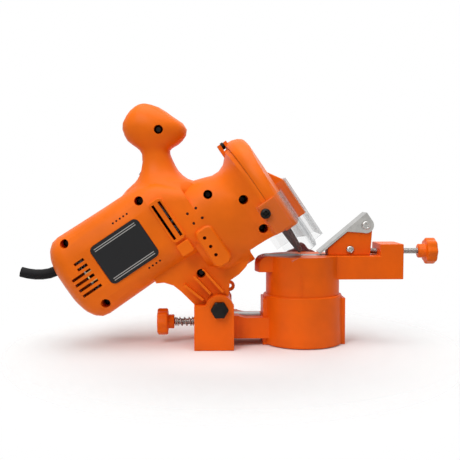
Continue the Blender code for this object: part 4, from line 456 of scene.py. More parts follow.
@dataclass(frozen=True)
class Winding(Finish):
    """Lacquered copper wire wound in even turns."""

    turns: float = 1500.0

    def build(self, tree: Tree) -> None:
        """Waves across the wires in colour and normal; the colour darkens in the grooves between the turns,
        which is painted shade.

        Args:
            tree: Tree to fill.
        """
        place = tree.place()
        x, y, z = tree.parts(place)
        wave = ((x + y * 0.7 + z) * (self.turns * TURN)).sine() * 0.5 + 0.5
        stain = tree.noise(place, 90.0, 3.0)
        tree.finish({
            # Painted shade: the colour falls to 0.35 of itself in the grooves between the turns.
            "Base Color": tree.blend(wave, self.tint(0.35), self.colour),
            "Metallic": 0.9,
            "Roughness": self.roughness + (stain - 0.5) * 0.3,
            "Normal": tree.bump(wave, 0.0001),
        })


@dataclass(frozen=True)
class Clear(Finish):
    """Clear polycarbonate: seen through face on, pale towards its edges."""

    face: float = 0.05
    edge: float = 0.62

    def build(self, tree: Tree) -> None:
        """Opacity that grows as the surface turns away, with faint scuffs.

        Args:
            tree: Tree to fill.
        """
        place = tree.place()
        scuffs = tree.noise(place, 300.0, 5.0, 0.75)
        turned = Wire(tree, tree.node("ShaderNodeLayerWeight", inputs={"Blend": 0.5}).outputs["Facing"])
        tree.finish({
            "Base Color": (*self.colour, 1.0),
            "Roughness": self.roughness + scuffs.ramp(0.55, 0.8) * 0.14,
            "Specular IOR Level": 0.15,
            "Alpha": turned.ramp(0.45, 0.97, self.face, self.edge) + scuffs.ramp(0.6, 0.9) * 0.04,
        })


@dataclass(frozen=True)
class Striped(Finish):
    """Charcoal panel with thin pale stripes, in the head's own axes."""

    stripe: tuple[float, float, float] = (0.40, 0.39, 0.37)
    rows: tuple[float, ...] = (0.0214, 0.0232, 0.0498, 0.0516)
    half: float = 0.00028
    ends: tuple[float, float] = (-0.1415, -0.1018)

    def build(self, tree: Tree) -> None:
        """Stripes at fixed heights between two ends, on a finely grained ground.

        Args:
            tree: Tree to fill.
        """
        place = tree.place()
        x, _, z = tree.parts(place)
        along, up = HEAD.shader(x, z)
        inside = along.ramp(self.ends[0] - 0.0002, self.ends[0]) * along.ramp(
            self.ends[1], self.ends[1] + 0.0002, 1.0, 0.0)
        mask = 0.0
        for row in self.rows:
            mask = abs(up - row).ramp(self.half, self.half * 1.4, 1.0, 0.0) + mask
        grain = tree.noise(place, 2400.0, 2.0)
        tree.finish({
            "Base Color": tree.blend(mask * inside, self.colour, self.stripe),
            "Roughness": self.roughness + (grain - 0.5) * 0.15,
            "Specular IOR Level": 0.2,
            "Normal": tree.bump(grain, 0.00002),
        })


# The head's own axes


@dataclass(frozen=True)
class HeadFrame:
    """The head's axes: along the spindle, and up in the plane of the disc."""

    tilt: float = math.radians(34)
    spindle_x: float = -0.02986
    spindle_z: float = 0.120497

    def row(self, points: np.ndarray) -> np.ndarray:
        """Turns points of the head's frame into the row frame.

        Args:
            points: Array whose last axis is along, across and up.

        Returns:
            The same points in the row frame.
        """
        cosine, sine = math.cos(self.tilt), math.sin(self.tilt)
        along, across, up = np.moveaxis(np.asarray(points, float), -1, 0)
        return np.stack((self.spindle_x + along * cosine - up * sine, across,
                         self.spindle_z + along * sine + up * cosine), axis=-1)

    def shader(self, x: Wire, z: Wire) -> tuple[Wire, Wire]:
        """Along and up values of a shader point.

        Args:
            x: Its X in the row frame.
            z: Its Z in the row frame.

        Returns:
            The two values in the head's frame.
        """
        cosine, sine = math.cos(self.tilt), math.sin(self.tilt)
        right, rise = x - self.spindle_x, z - self.spindle_z
        return right * cosine + rise * sine, rise * cosine - right * sine

    @property
    def axis(self) -> tuple[float, float, float]:
        """Unit vector out along the spindle, in the row frame."""
        return math.cos(self.tilt), 0.0, math.sin(self.tilt)


HEAD = HeadFrame()

SHELL = Moulded("satin_orange_nylon", (0.88, 0.158, 0.004), 0.42)
KNOBS = Moulded("orange_knob_plastic", (0.86, 0.138, 0.004), 0.38, grain=1500.0)
CASTING = Coated("orange_powder_coat", (0.84, 0.122, 0.003), 0.44)
BLACK = Moulded("black_moulding", (0.010, 0.010, 0.011), 0.42)
# The clamp knob's dark red is painted shade: the orange knob darkened to how it looks in shadow.
SHADED_KNOB_RED = Moulded("dark_red_moulding", (0.16, 0.012, 0.008), 0.36)
RUBBER = Moulded("sleeve_rubber", (0.009, 0.009, 0.010), 0.62, grain=900.0, depth=0.00008)
STEEL = Metal("bright_turned_steel", (0.42, 0.41, 0.39), 0.30)
PLATED = Metal("zinc_plated_sheet", (0.44, 0.43, 0.41), 0.26, lines=(260.0, 1800.0, 260.0))
GROUND = Metal("ground_steel", (0.40, 0.40, 0.39), 0.34, lines=(60.0, 3000.0, 3000.0))
THREAD = Metal("zinc_thread", (0.44, 0.43, 0.41), 0.28, lines=(400.0, 400.0, 400.0))
WIRE = Metal("spring_wire", (0.46, 0.45, 0.43), 0.24, lines=(900.0, 900.0, 900.0))
OXIDE = Metal("black_oxide", (0.022, 0.020, 0.019), 0.38, lines=(700.0, 700.0, 700.0), stain=0.4)
CORE = Metal("stacked_core_steel", (0.16, 0.16, 0.165), 0.42, lines=(3200.0, 60.0, 60.0))
COPPER = Winding("lacquered_windings", (0.62, 0.24, 0.09), 0.36)
COMMUTATOR = Metal("turned_copper", (0.72, 0.34, 0.20), 0.30, lines=(2600.0, 90.0, 90.0))
BRASS = Metal("drawn_brass", (0.72, 0.52, 0.22), 0.32)
ABRASIVE = Grit("dark_bonded_grit", (0.045, 0.022, 0.020), 0.95)
CARBON = Grit("brush_carbon", (0.020, 0.020, 0.021), 0.72, grain=3800.0, pale=(0.05, 0.05, 0.052))
PANE = Clear("clear_polycarbonate", (0.20, 0.215, 0.225), 0.08)
PANEL = Striped("charcoal_panel", (0.012, 0.012, 0.013), 0.42)
# Dark domes for the side dots, and painted shade laid on the shell's holes in place of their depth.
DOTS_AND_HOLE_SHADE = Moulded("dark_hole_bottoms", (0.030, 0.004, 0.001), 0.6)


# Meshes from whole arrays


@dataclass(frozen=True)
class Axis:
    """A line that rings are built round: a point on it, its direction and where angle 0 points."""

    point: tuple[float, float, float]
    direction: tuple[float, float, float]
    zero: tuple[float, float, float]

    def rings(self, heights: np.ndarray, radii: np.ndarray, angles: np.ndarray) -> np.ndarray:
        """Points at these heights, radii and angles round the line.

        Args:
            heights: Distances along the line, rows by columns.
            radii: Distances from it, of the same shape.
            angles: One angle for each column.

        Returns:
            Points, rows by columns by three.
        """
        line, first = np.array(self.direction), np.array(self.zero)
        second = np.cross(line, first)
        way = np.cos(angles)[:, None] * first + np.sin(angles)[:, None] * second
        return np.array(self.point) + heights[..., None] * line + radii[..., None] * way[None]


class Builder:
    """Turns grids of points into closed, outward-facing mesh objects."""

    def __init__(self) -> None:
        """Starts with no pieces made."""
        self.made: list[bpy.types.Object] = []

    @staticmethod
    def closed(points: np.ndarray, looped: bool = False) -> tuple[np.ndarray, np.ndarray]:
        """Quads over a grid whose columns close on themselves.

        Args:
            points: Grid of points, rows by columns by three.
            looped: True if the rows close too; else each end gets a centre point.

        Returns:
            Vertices, and triangles that all face outwards.
        """
        rows, columns = points.shape[:2]
        index = np.arange(rows * columns).reshape(rows, columns)
        right = np.roll(index, -1, axis=1)
        below = np.roll(index, -1, axis=0)
        corner = np.roll(right, -1, axis=0)
        keep = slice(None) if looped else slice(0, rows - 1)
        first = np.stack((index[keep], right[keep], corner[keep]), -1).reshape(-1, 3)
        second = np.stack((index[keep], corner[keep], below[keep]), -1).reshape(-1, 3)
        vertices = points.reshape(-1, 3)
        faces = np.concatenate((first, second))
        if not looped:
            ends = np.stack((points[0].mean(axis=0), points[-1].mean(axis=0)))
            start, end = len(vertices), len(vertices) + 1
            vertices = np.concatenate((vertices, ends))
            front = np.stack((np.full(columns, start), right[0], index[0]), -1)
            back = np.stack((np.full(columns, end), index[-1], right[-1]), -1)
            faces = np.concatenate((faces, front, back))
        a, b, c = (vertices[faces[:, k]] for k in range(3))
        if np.einsum("ij,ij->i", a, np.cross(b, c)).sum() < 0:
            faces = faces[:, ::-1]
        return vertices, faces

    def add(self, name: str, shells: list[tuple[np.ndarray, np.ndarray]], finish: Finish,
            angle: float = 40.0) -> bpy.types.Object:
        """Makes one object from one or more closed shells.

        Args:
            name: Name of the piece.
            shells: Vertices and faces of each shell.
            finish: Finish that it gets.
            angle: Edges sharper than this many degrees stay sharp.

        Returns:
            The new object, linked to the scene.
        """
        starts = np.cumsum([0] + [len(vertices) for vertices, _ in shells[:-1]])
        vertices = np.concatenate([part for part, _ in shells])
        faces = np.concatenate([part + start for (_, part), start in zip(shells, starts)])
        mesh = bpy.data.meshes.new(name)
        mesh.vertices.add(len(vertices))
        mesh.vertices.foreach_set("co", vertices.astype(np.float32).ravel())
        mesh.loops.add(faces.size)
        mesh.loops.foreach_set("vertex_index", faces.astype(np.int32).ravel())
        mesh.polygons.add(len(faces))
        mesh.polygons.foreach_set("loop_start", np.arange(0, faces.size, 3, dtype=np.int32))
        mesh.update(calc_edges=True)
        mesh.validate()
        mesh.shade_smooth()
        mesh.set_sharp_from_angle(angle=math.radians(angle))
        mesh.materials.append(finish.material())
        piece = bpy.data.objects.new(name, mesh)
        bpy.context.scene.collection.objects.link(piece)
        self.made.append(piece)
        LOG.info("%s: %d triangles", name, len(faces))
        return piece

    def merged(self, name: str, node: bpy.types.Object, finish: Finish, angle: float = 40.0,
               weld: float = 0.000005) -> bpy.types.Object:
        """Makes a welded, smooth-shaded copy of a CAD node.

        Args:
            name: Name of the copy.
            node: CAD node, which is left as it is.
            finish: Finish of the copy.
            angle: Edges sharper than this many degrees stay sharp.
            weld: Grid on which corners count as the same point.

        Returns:
            The copy.
        """
        mesh = node.data
        mesh.calc_loop_triangles()
        points = np.empty(len(mesh.vertices) * 3, np.float32)
        mesh.vertices.foreach_get("co", points)
        corners = np.empty(len(mesh.loop_triangles) * 3, np.int32)
        mesh.loop_triangles.foreach_get("vertices", corners)
        keys = np.round(points.reshape(-1, 3).astype(float) / weld).astype(np.int64)
        _, first, where = np.unique(keys, axis=0, return_index=True, return_inverse=True)
        faces = where.reshape(-1)[corners].reshape(-1, 3)
        good = (faces[:, 0] != faces[:, 1]) & (faces[:, 1] != faces[:, 2]) & (faces[:, 2] != faces[:, 0])
        copy = self.add(name, [(points.reshape(-1, 3)[first], faces[good])], finish, angle)
        shading = copy.modifiers.new("even_normals", "WEIGHTED_NORMAL")
        shading.keep_sharp = True
        return copy


@dataclass
class Assembly:
    """A sub-assembly: finishes for its CAD nodes, and a place for its own pieces."""

    frame: dict
    builder: Builder

    def dress(self, finishes: dict[str, Finish]) -> None:
        """Gives CAD nodes their finishes.

        Args:
            finishes: Finish of each node, by name.
        """
        for name, finish in finishes.items():
            node = self.frame["nodes"][name]
            for slot in node.material_slots:
                slot.material = finish.material()

    def fit(self, piece: bpy.types.Object, body: str, slot: Slot, *nodes: str) -> bpy.types.Object:
        """Ties a piece to a body and to the CAD nodes it stands for.

        Args:
            piece: Finished piece.
            body: Body that it moves with.
            slot: Slot of the record; not used.
            nodes: CAD nodes that it replaces.

        Returns:
            The same piece.
        """
        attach(piece, body)
        if nodes:
            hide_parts(*nodes)
        return piece

    def part(self, name: str, shell: tuple[np.ndarray, np.ndarray], finish: Finish, body: str,
             slot: Slot, *nodes: str, angle: float = 40.0) -> bpy.types.Object:
        """Makes a piece of one shell and fits it.

        Args:
            name: Name of the piece.
            shell: Its vertices and faces.
            finish: Its finish.
            body: Body that it moves with.
            slot: Slot of the record.
            nodes: CAD nodes that it replaces.
            angle: Edges sharper than this many degrees stay sharp.

        Returns:
            The piece.
        """
        return self.fit(self.builder.add(name, [shell], finish, angle), body, slot, *nodes)

    def copy(self, name: str, node: str, finish: Finish, body: str, slot: Slot,
             angle: float = 40.0) -> bpy.types.Object:
        """Replaces a CAD node by its smooth copy.

        Args:
            name: Name of the copy.
            node: CAD node.
            finish: Finish of the copy.
            body: Body that it moves with.
            slot: Slot of the record.
            angle: Edges sharper than this many degrees stay sharp.

        Returns:
            The copy.
        """
        piece = self.builder.merged(name, self.frame["nodes"][node], finish, angle)
        return self.fit(piece, body, slot, node)


@dataclass(frozen=True)
class Grip:
    """Sizes of a fluted knob with a hub, counted inwards from its outer face."""

    radius: float
    thickness: float
    length: float
    hub_radius: float = 0.0061
    corner: float = 0.0016
    edge: float = 0.0005
    fillet: float = 0.0004
    dimple: float = 0.0006
    dimple_share: float = 0.35
    rim_share: float = 0.52
    flutes: int = 8
    flute_depth: float = 0.0009


@dataclass
class Fasteners(Assembly):
    """Shapes that several sub-assemblies share: threads, screw heads and knobs."""

    columns: int = 36

    def thread(self, axis: Axis, length: float, radius: float, pitch: float,
               samples: int = 12) -> tuple[np.ndarray, np.ndarray]:
        """A right-handed screw thread.

        The radius is the outer radius less a depth that runs from 0 at the crest to 0.55
        of the pitch at the root. The crest is where the height in pitches less the angle
        in turns is a whole number. Both ends taper to the root.

        Args:
            axis: Line of the screw, from one end.
            length: Length of the thread.
            radius: Outer radius.
            pitch: Distance between two crests.
            samples: Rows in one pitch.

        Returns:
            Vertices and faces.
        """
        rows = int(round(length / pitch * samples)) + 1
        heights = np.linspace(0, length, rows)[:, None] * np.ones(self.columns)
        angles = circle(self.columns)
        phase = (heights / pitch - angles / TURN) % 1.0
        valley = np.clip(1.35 - np.abs(2 * phase - 1) * 1.6, 0, 1)
        ends = np.clip(1 - np.minimum(heights, length - heights) / (pitch * 0.8), 0, 1)
        radii = radius - pitch * 0.55 * np.maximum(valley, ends)
        return Builder.closed(axis.rings(heights, radii, angles))

    def pan_head(self, axis: Axis, head: float, height: float, shank: float, length: float,
                 washer: float = 0.0) -> tuple[np.ndarray, np.ndarray]:
        """A domed screw head with a cross recess, over a plain shank.

        The head's height is a dome, a power curve of the share of the radius, less the
        recess: a cross whose arms are 0.2 of the radius to each side and reach 0.62 of it,
        with sloping walls.

        Args:
            axis: Line of the screw, from the seat outwards.
            head: Radius of the head.
            height: Height of the head.
            shank: Radius of the shank.
            length: Length of the shank.
            washer: Height of a washer under the head, or 0.

        Returns:
            Vertices and faces.
        """
        angles = circle(72)
        share = np.linspace(0.02, 1.0, 26)[:, None]
        x, y = share * np.abs(np.cos(angles)), share * np.abs(np.sin(angles))
        arm = np.clip((0.20 - np.minimum(x, y)) / 0.07, 0, 1)
        reach = np.clip((0.62 - np.maximum(x, y)) / 0.16, 0, 1)
        base = height * 0.16 + washer
        dome = base + (height + washer - base) * (1 - share ** 2.6) ** 0.7
        top = dome - height * 0.55 * arm * reach
        inner = 0.86 if washer else 1.0
        tail = [(base, head * inner), (washer, head * inner * 0.98)]
        if washer:
            tail += [(washer, head * 0.995), (washer * 0.85, head), (washer * 0.15, head)]
        tail += [(0.0, head * 0.97), (0.0, shank), (-length + shank * 0.4, shank), (-length, shank * 0.7)]
        rest = np.array(tail)[:, :, None] * np.ones(72)
        heights = np.concatenate((top, rest[:, 0]))
        radii = np.concatenate((share * np.ones(72) * head * inner, rest[:, 1]))
        return Builder.closed(axis.rings(heights, radii, angles))

    def knob(self, axis: Axis, profile: list[tuple[float, float, float]], lobes: int, depth: float,
             sharpness: float = 1.0) -> tuple[np.ndarray, np.ndarray]:
        """A knob with lobes.

        Each row of the profile has a height, a radius and a share of the lobes. The radius
        at an angle is the row's radius less the lobe depth times that share times half of
        one less the cosine of the angle times the number of lobes, to a power.

        Args:
            axis: Line of the knob.
            profile: Rows of height, radius and lobe share, from one end to the other.
            lobes: Number of lobes.
            depth: Depth of the hollows between them.
            sharpness: Power of the wave; above 1 the hollows narrow.

        Returns:
            Vertices and faces.
        """
        columns = lobes * 24
        angles = circle(columns)
        wave = ((1 - np.cos(lobes * angles)) / 2) ** sharpness
        rows = np.array(profile)
        radii = rows[:, 1:2] - depth * rows[:, 2:3] * wave
        heights = rows[:, 0:1] * np.ones(columns)
        return Builder.closed(axis.rings(heights, radii, angles))

    def fluted(self, axis: Axis, grip: Grip) -> tuple[np.ndarray, np.ndarray]:
        """A fluted knob with a hollow face and a round hub.

        Args:
            axis: Line of the knob, from its outer face inwards.
            grip: Its sizes.

        Returns:
            Vertices and faces.
        """
        rows = [(grip.dimple, grip.radius * grip.dimple_share, 0.0),
                (0.0, grip.radius * grip.rim_share, 0.0)]
        rows += self.rounded(0.0, grip.thickness, grip.radius, grip.corner)
        rows += [(grip.thickness, grip.hub_radius + grip.fillet, 0.0),
                 (grip.thickness + grip.fillet, grip.hub_radius, 0.0),
                 (grip.length - grip.edge, grip.hub_radius, 0.0),
                 (grip.length, grip.hub_radius - grip.edge, 0.0)]
        return self.knob(axis, rows, grip.flutes, grip.flute_depth)

    @staticmethod
    def rounded(low: float, high: float, radius: float, corner: float, lobed: float = 1.0,
                steps: int = 6) -> list[tuple[float, float, float]]:
        """Profile rows of a disc with round edges, from its low face to its high face.

        Args:
            low: Height of the low face.
            high: Height of the high face.
            radius: Outer radius.
            corner: Radius of the round edges.
            lobed: Share of the lobes at the rim.
            steps: Rows in each edge.

        Returns:
            Rows of height, radius and lobe share.
        """
        bend = np.linspace(-math.pi / 2, 0, steps)
        first = [(low + corner + corner * math.sin(b), radius - corner + corner * math.cos(b), lobed)
                 for b in bend]
        second = [(high - corner - corner * math.sin(b), radius - corner + corner * math.cos(b), lobed)
                  for b in bend[::-1]]
        return first + second

    def hexagon(self, axis: Axis, across: float, height: float, shank: float, low: float,
                high: float) -> tuple[np.ndarray, np.ndarray]:
        """A bolt with a chamfered hexagon head.

        The head's radius at an angle is the half width across flats over the cosine of the
        angle from the nearest flat's middle, held under the chamfer's circle.

        Args:
            axis: Line of the bolt, from the head's seat outwards.
            across: Radius over the corners.
            height: Height of the head.
            shank: Radius of the shank.
            low: Length of the shank below the seat.
            high: Rounding at the shank's end.

        Returns:
            Vertices and faces.
        """
        angles = circle(96)
        flat = across * math.cos(math.pi / 6) / np.cos(angles % (TURN / 6) - math.pi / 6)
        rows = [
            (height, across * 0.80, 1.0),
            (height, across * 0.84, 1.0),
            (height * 0.86, across * 0.97, 0.0),
            (height * 0.10, across * 0.99, 0.0),
            (0.0, across * 0.96, 0.0),
            (0.0, shank, 1.0),
            (-low + high, shank, 1.0),
            (-low, shank - high, 1.0),
        ]
        table = np.array(rows)
        limit = table[:, 1:2] * np.ones(96)
        radii = np.where(table[:, 2:3] > 0.5, limit, np.minimum(limit, flat))
        heights = table[:, 0:1] * np.ones(96)
        return Builder.closed(axis.rings(heights, radii, angles))


@dataclass
class MotorHead(Fasteners):
    """The moulded case with its handle, plate, switch, motor and sleeve."""

    plate: tuple[float, float, float, float] = (-0.1451, -0.0982, 0.0184, 0.0546)
    plate_back: float = -0.0347
    plate_face: float = -0.0354
    plate_corner: float = 0.0046
    plate_edge: float = 0.0003
    plate_columns: int = 96
    dot_radius: float = 0.0009
    hole_radius: float = 0.0012
    dot_rise: float = 0.00012
    dot_columns: int = 20
    ridge_hole_radius: float = 0.0014
    dots_above: tuple[float, float, float, float, int] = (-0.1166, -0.1029, 0.0610, 0.0610, 5)
    dots_below: tuple[float, float, float, float, int] = (-0.1128, -0.1021, 0.0140, 0.0140, 4)
    holes_upper: tuple[float, float, float, float, int] = (-0.0617, -0.0534, 0.0333, 0.0333, 2)
    holes_lower: tuple[float, float, float, float, int] = (-0.0617, -0.0534, 0.0238, 0.0238, 2)
    ridge_holes: tuple[float, float, float, float, int] = (-0.0610, -0.0610, 0.0090, -0.0076, 3)
    case_screws: int = 8

    def build(self) -> None:
        """Makes the shells, the panel, the dots and the sleeve, and dresses the screws and the rest."""
        spots = self.dot_places()
        self.copy("near_shell", "housing_near", SHELL, "head", Slot.SHELL)
        self.copy("far_shell", "housing_far", SHELL, "head", Slot.SHELL)
        self.panel()
        self.dots(spots)
        self.copy("sleeve", "strain_relief", RUBBER, "head", Slot.RUBBER, 50.0)
        finishes: dict[str, Finish] = {f"case_screw_{n}": OXIDE for n in range(1, self.case_screws + 1)}
        finishes |= {
            "switch_body": BLACK, "rocker": BLACK, "fan": BLACK, "cover_screw": OXIDE,
            "stator_core": CORE, "armature_core": CORE, "armature_shaft": STEEL,
            "field_coil_upper": COPPER, "field_coil_lower": COPPER, "commutator": COMMUTATOR,
            "brush_holder_near": BRASS, "brush_holder_far": BRASS, "carbon_brush_near": CARBON,
            "carbon_brush_far": CARBON, "armature_bearing_rear": STEEL, "armature_bearing_front": STEEL,
            "spindle_bearing_rear": STEEL, "spindle_bearing_front": STEEL, "pinion": GROUND,
        }
        self.dress(finishes)

    def dot_places(self) -> list[tuple[Vector, Vector, float]]:
        """Points, normals and radii of the small dark dots on the near shell, and of the painted shade on
        its holes.
        """
        found = []
        shell = self.frame["nodes"]["housing_near"]
        rows = ((self.dots_above, self.dot_radius), (self.dots_below, self.dot_radius),
                (self.holes_upper, self.hole_radius), (self.holes_lower, self.hole_radius),
                (self.ridge_holes, self.ridge_hole_radius))
        for (first, last, start, end, count), radius in rows:
            spots = np.linspace((first, -0.2, start), (last, -0.2, end), count)
            for spot in HEAD.row(spots):
                hit, place, normal, _ = shell.ray_cast(Vector(spot), Vector((0, 1, 0)))
                if hit:
                    found.append((place.copy(), normal.copy(), radius))
        return found

    def dots(self, spots: list[tuple[Vector, Vector, float]]) -> None:
        """Low dark domes at the dots' places and on the holes, where the dark is painted shade in place of
        their depth: the height falls with the square of the radius.

        Args:
            spots: Point, normal and radius of each dot.
        """
        shells = []
        for place, normal, radius in spots:
            zero = normal.orthogonal().normalized()
            axis = Axis(tuple(place), tuple(normal), tuple(zero))
            share = np.linspace(0.1, 1.0, 6)[:, None]
            radii = np.concatenate((share, [[1.0]])) * radius * np.ones(self.dot_columns)
            heights = np.concatenate((self.dot_rise * (1 - share ** 2), [[-radius / 4]]))
            heights = heights * np.ones(self.dot_columns)
            shells.append(Builder.closed(axis.rings(heights, radii, circle(self.dot_columns))))
        self.fit(self.builder.add("side_dots", shells, DOTS_AND_HOLE_SHADE), "head", Slot.SHELL)

    def panel(self) -> None:
        """The plain panel: a rounded rectangle whose rim bends back along a quarter circle."""
        left, right, low, high = self.plate
        corner, edge = self.plate_corner, self.plate_edge
        angles = circle(self.plate_columns) + TURN / (2 * self.plate_columns)
        bend = np.linspace(math.pi / 2, 0, 5)
        inset = np.concatenate(([corner * 0.8], edge * (1 - np.cos(bend)), [0.0, corner * 0.8]))[:, None]
        across = np.concatenate(([self.plate_face], self.plate_face + edge * (1 - np.sin(bend)),
                                 [self.plate_back, self.plate_back]))[:, None] * np.ones(len(angles))
        reach, cosine, sine = corner - inset, np.cos(angles), np.sin(angles)
        along = (left + right) / 2 + np.sign(cosine) * ((right - left) / 2 - corner) + reach * cosine
        up = (low + high) / 2 + np.sign(sine) * ((high - low) / 2 - corner) + reach * sine
        shell = Builder.closed(HEAD.row(np.stack((along, across, up), -1)))
        self.part("side_panel", shell, PANEL, "head", Slot.BLACK)


@dataclass
class GrindingUnit(Fasteners):
    """Disc, flanges, spindle, wheel cover and clear guard."""

    disc_radius: float = 0.050
    disc_thickness: float = 0.0032
    disc_bore: float = 0.0050
    guard_screw: tuple[float, float] = (-0.0097, -0.0007)
    guard_face: float = 0.0605
    screw_head: float = 0.0041
    screw_height: float = 0.0024
    screw_shank: float = 0.0020
    screw_length: float = 0.0110

    def build(self) -> None:
        """Makes the disc, the cover, the pane and its screws, and dresses the spindle."""
        self.disc()
        self.copy("disc_cover", "wheel_cover", SHELL, "head", Slot.SHELL)
        self.copy("guard_pane", "clear_guard", PANE, "head", Slot.CLEAR)
        x, _, z = HEAD.row(np.array((self.guard_screw[0], 0.0, self.guard_screw[1])))
        for name, side in (("near", -1), ("far", 1)):
            axis = Axis((x, side * self.guard_face, z), (0.0, side, 0.0), (1.0, 0.0, 0.0))
            shell = self.pan_head(axis, self.screw_head, self.screw_height, self.screw_shank,
                                  self.screw_length)
            self.part(f"guard_bolt_{name}", shell, OXIDE, "head", Slot.DARK_STEEL, f"guard_screw_{name}")
        self.dress({"outer_flange": STEEL, "inner_flange": STEEL, "spindle_nut": STEEL,
                    "spindle_shaft": GROUND, "drive_gear": GROUND})

    def disc(self) -> None:
        """The disc: a closed profile with slightly worn edges, turned round the spindle."""
        half, wear = self.disc_thickness / 2, 0.0005
        profile = np.array([
            (-half, self.disc_bore), (-half, self.disc_radius * 0.55), (-half, self.disc_radius - wear),
            (-half * 0.6, self.disc_radius), (half * 0.6, self.disc_radius),
            (half, self.disc_radius - wear), (half, self.disc_radius * 0.55), (half, self.disc_bore),
        ])
        columns = 160
        axis = Axis((HEAD.spindle_x, 0.0, HEAD.spindle_z), HEAD.axis, (0.0, 1.0, 0.0))
        angles = circle(columns)
        points = axis.rings(profile[:, :1] * np.ones(columns), profile[:, 1:] * np.ones(columns), angles)
        shell = Builder.closed(points, looped=True)
        self.part("sharpening_disc", shell, ABRASIVE, "spindle", Slot.GRIT, "grinding_disc", angle=30.0)


@dataclass
class DepthStop(Fasteners):
    """The screw with its spring and knob that sets how low the head comes."""

    height: float = 0.0183
    screw: tuple[float, float, float] = (-0.1222, -0.0813, 0.0029)
    pitch: float = 0.001
    knob_face: float = -0.1268
    grip: Grip = Grip(0.0116, 0.0093, 0.0146)
    spring: tuple[float, float] = (-0.1119, -0.0946)
    wire: float = 0.00045
    coil: float = 0.0036
    turns: float = 6.5

    def build(self) -> None:
        """Makes the screw, the knob and the spring."""
        left, right, radius = self.screw
        axis = Axis((left, 0.0, self.height), (1.0, 0.0, 0.0), (0.0, 1.0, 0.0))
        shell = self.thread(axis, right - left, radius, self.pitch)
        self.part("depth_thread", shell, THREAD, "depth_turn", Slot.STEEL, "depth_screw", angle=50.0)
        axis = Axis((self.knob_face, 0.0, self.height), (1.0, 0.0, 0.0), (0.0, 0.0, 1.0))
        self.part("depth_grip", self.fluted(axis, self.grip), KNOBS, "depth_turn", Slot.SHELL, "depth_knob",
                  angle=50.0)
        self.spring_piece()
        self.dress({"depth_nut": STEEL})

    def spring_piece(self) -> None:
        """The spring: a wire on a helix whose pitch closes up at both ends.

        The height follows the turns smoothly, with a flat start and end, and the wire's
        section is a circle in the plane of the radius and the line's normal.
        """
        start, end = self.spring[0] + self.wire, self.spring[1] - self.wire
        rows = int(self.turns * 40)
        share = np.linspace(0, 1, rows)
        spread = share - 0.11 * np.sin(TURN * share)
        heights = start + (end - start) * spread
        angle = TURN * self.turns * share
        way = np.stack((np.zeros(rows), np.cos(angle), np.sin(angle)), -1)
        centre = np.stack((heights, np.zeros(rows), np.full(rows, self.height)), -1) + self.coil * way
        line = np.gradient(centre, axis=0)
        line /= np.linalg.norm(line, axis=1, keepdims=True)
        side = np.cross(line, way)
        bend = circle(14)
        points = centre[:, None] + self.wire * (np.cos(bend)[None, :, None] * way[:, None]
                                                + np.sin(bend)[None, :, None] * side[:, None])
        self.part("depth_coil", Builder.closed(points), WIRE, "depth_travel", Slot.STEEL, "depth_spring",
                  angle=60.0)


@dataclass
class ChainTable(Fasteners):
    """The swivelling table with its jaws and clamp."""

    clamp_x: float = 0.004
    clamp_z: float = 0.0695
    screw: tuple[float, float, float] = (0.0065, 0.0408, 0.0029)
    pitch: float = 0.001
    grip: tuple[float, float, float] = (0.0358, 0.0458, 0.0148)
    lobes: int = 5
    lobe_depth: float = 0.0035

    def build(self) -> None:
        """Makes the casting's smooth copy, the clamp screw and its knob."""
        self.copy("table_body", "table_casting", CASTING, "table", Slot.CASTING)
        start, end, radius = self.screw
        axis = Axis((self.clamp_x, end, self.clamp_z), (0.0, -1.0, 0.0), (1.0, 0.0, 0.0))
        shell = self.thread(axis, end - start, radius, self.pitch, 10)
        self.part("clamp_thread", shell, THREAD, "clamp", Slot.STEEL, "clamp_screw", angle=50.0)
        low, high, radius = self.grip
        axis = Axis((self.clamp_x, 0.0, self.clamp_z), (0.0, 1.0, 0.0), (0.0, 0.0, 1.0))
        rows = [(low, radius * 0.30, 0.2)] + self.rounded(low, high, radius, 0.0022)
        rows += [(high, radius * 0.45, 0.3), (high - 0.0006, radius * 0.38, 0.0)]
        shell = self.knob(axis, rows, self.lobes, self.lobe_depth)
        self.part("clamp_grip", shell, SHADED_KNOB_RED, "clamp", Slot.RED, "clamp_knob", angle=50.0)
        self.dress({"front_jaw": GROUND, "rear_jaw": GROUND})


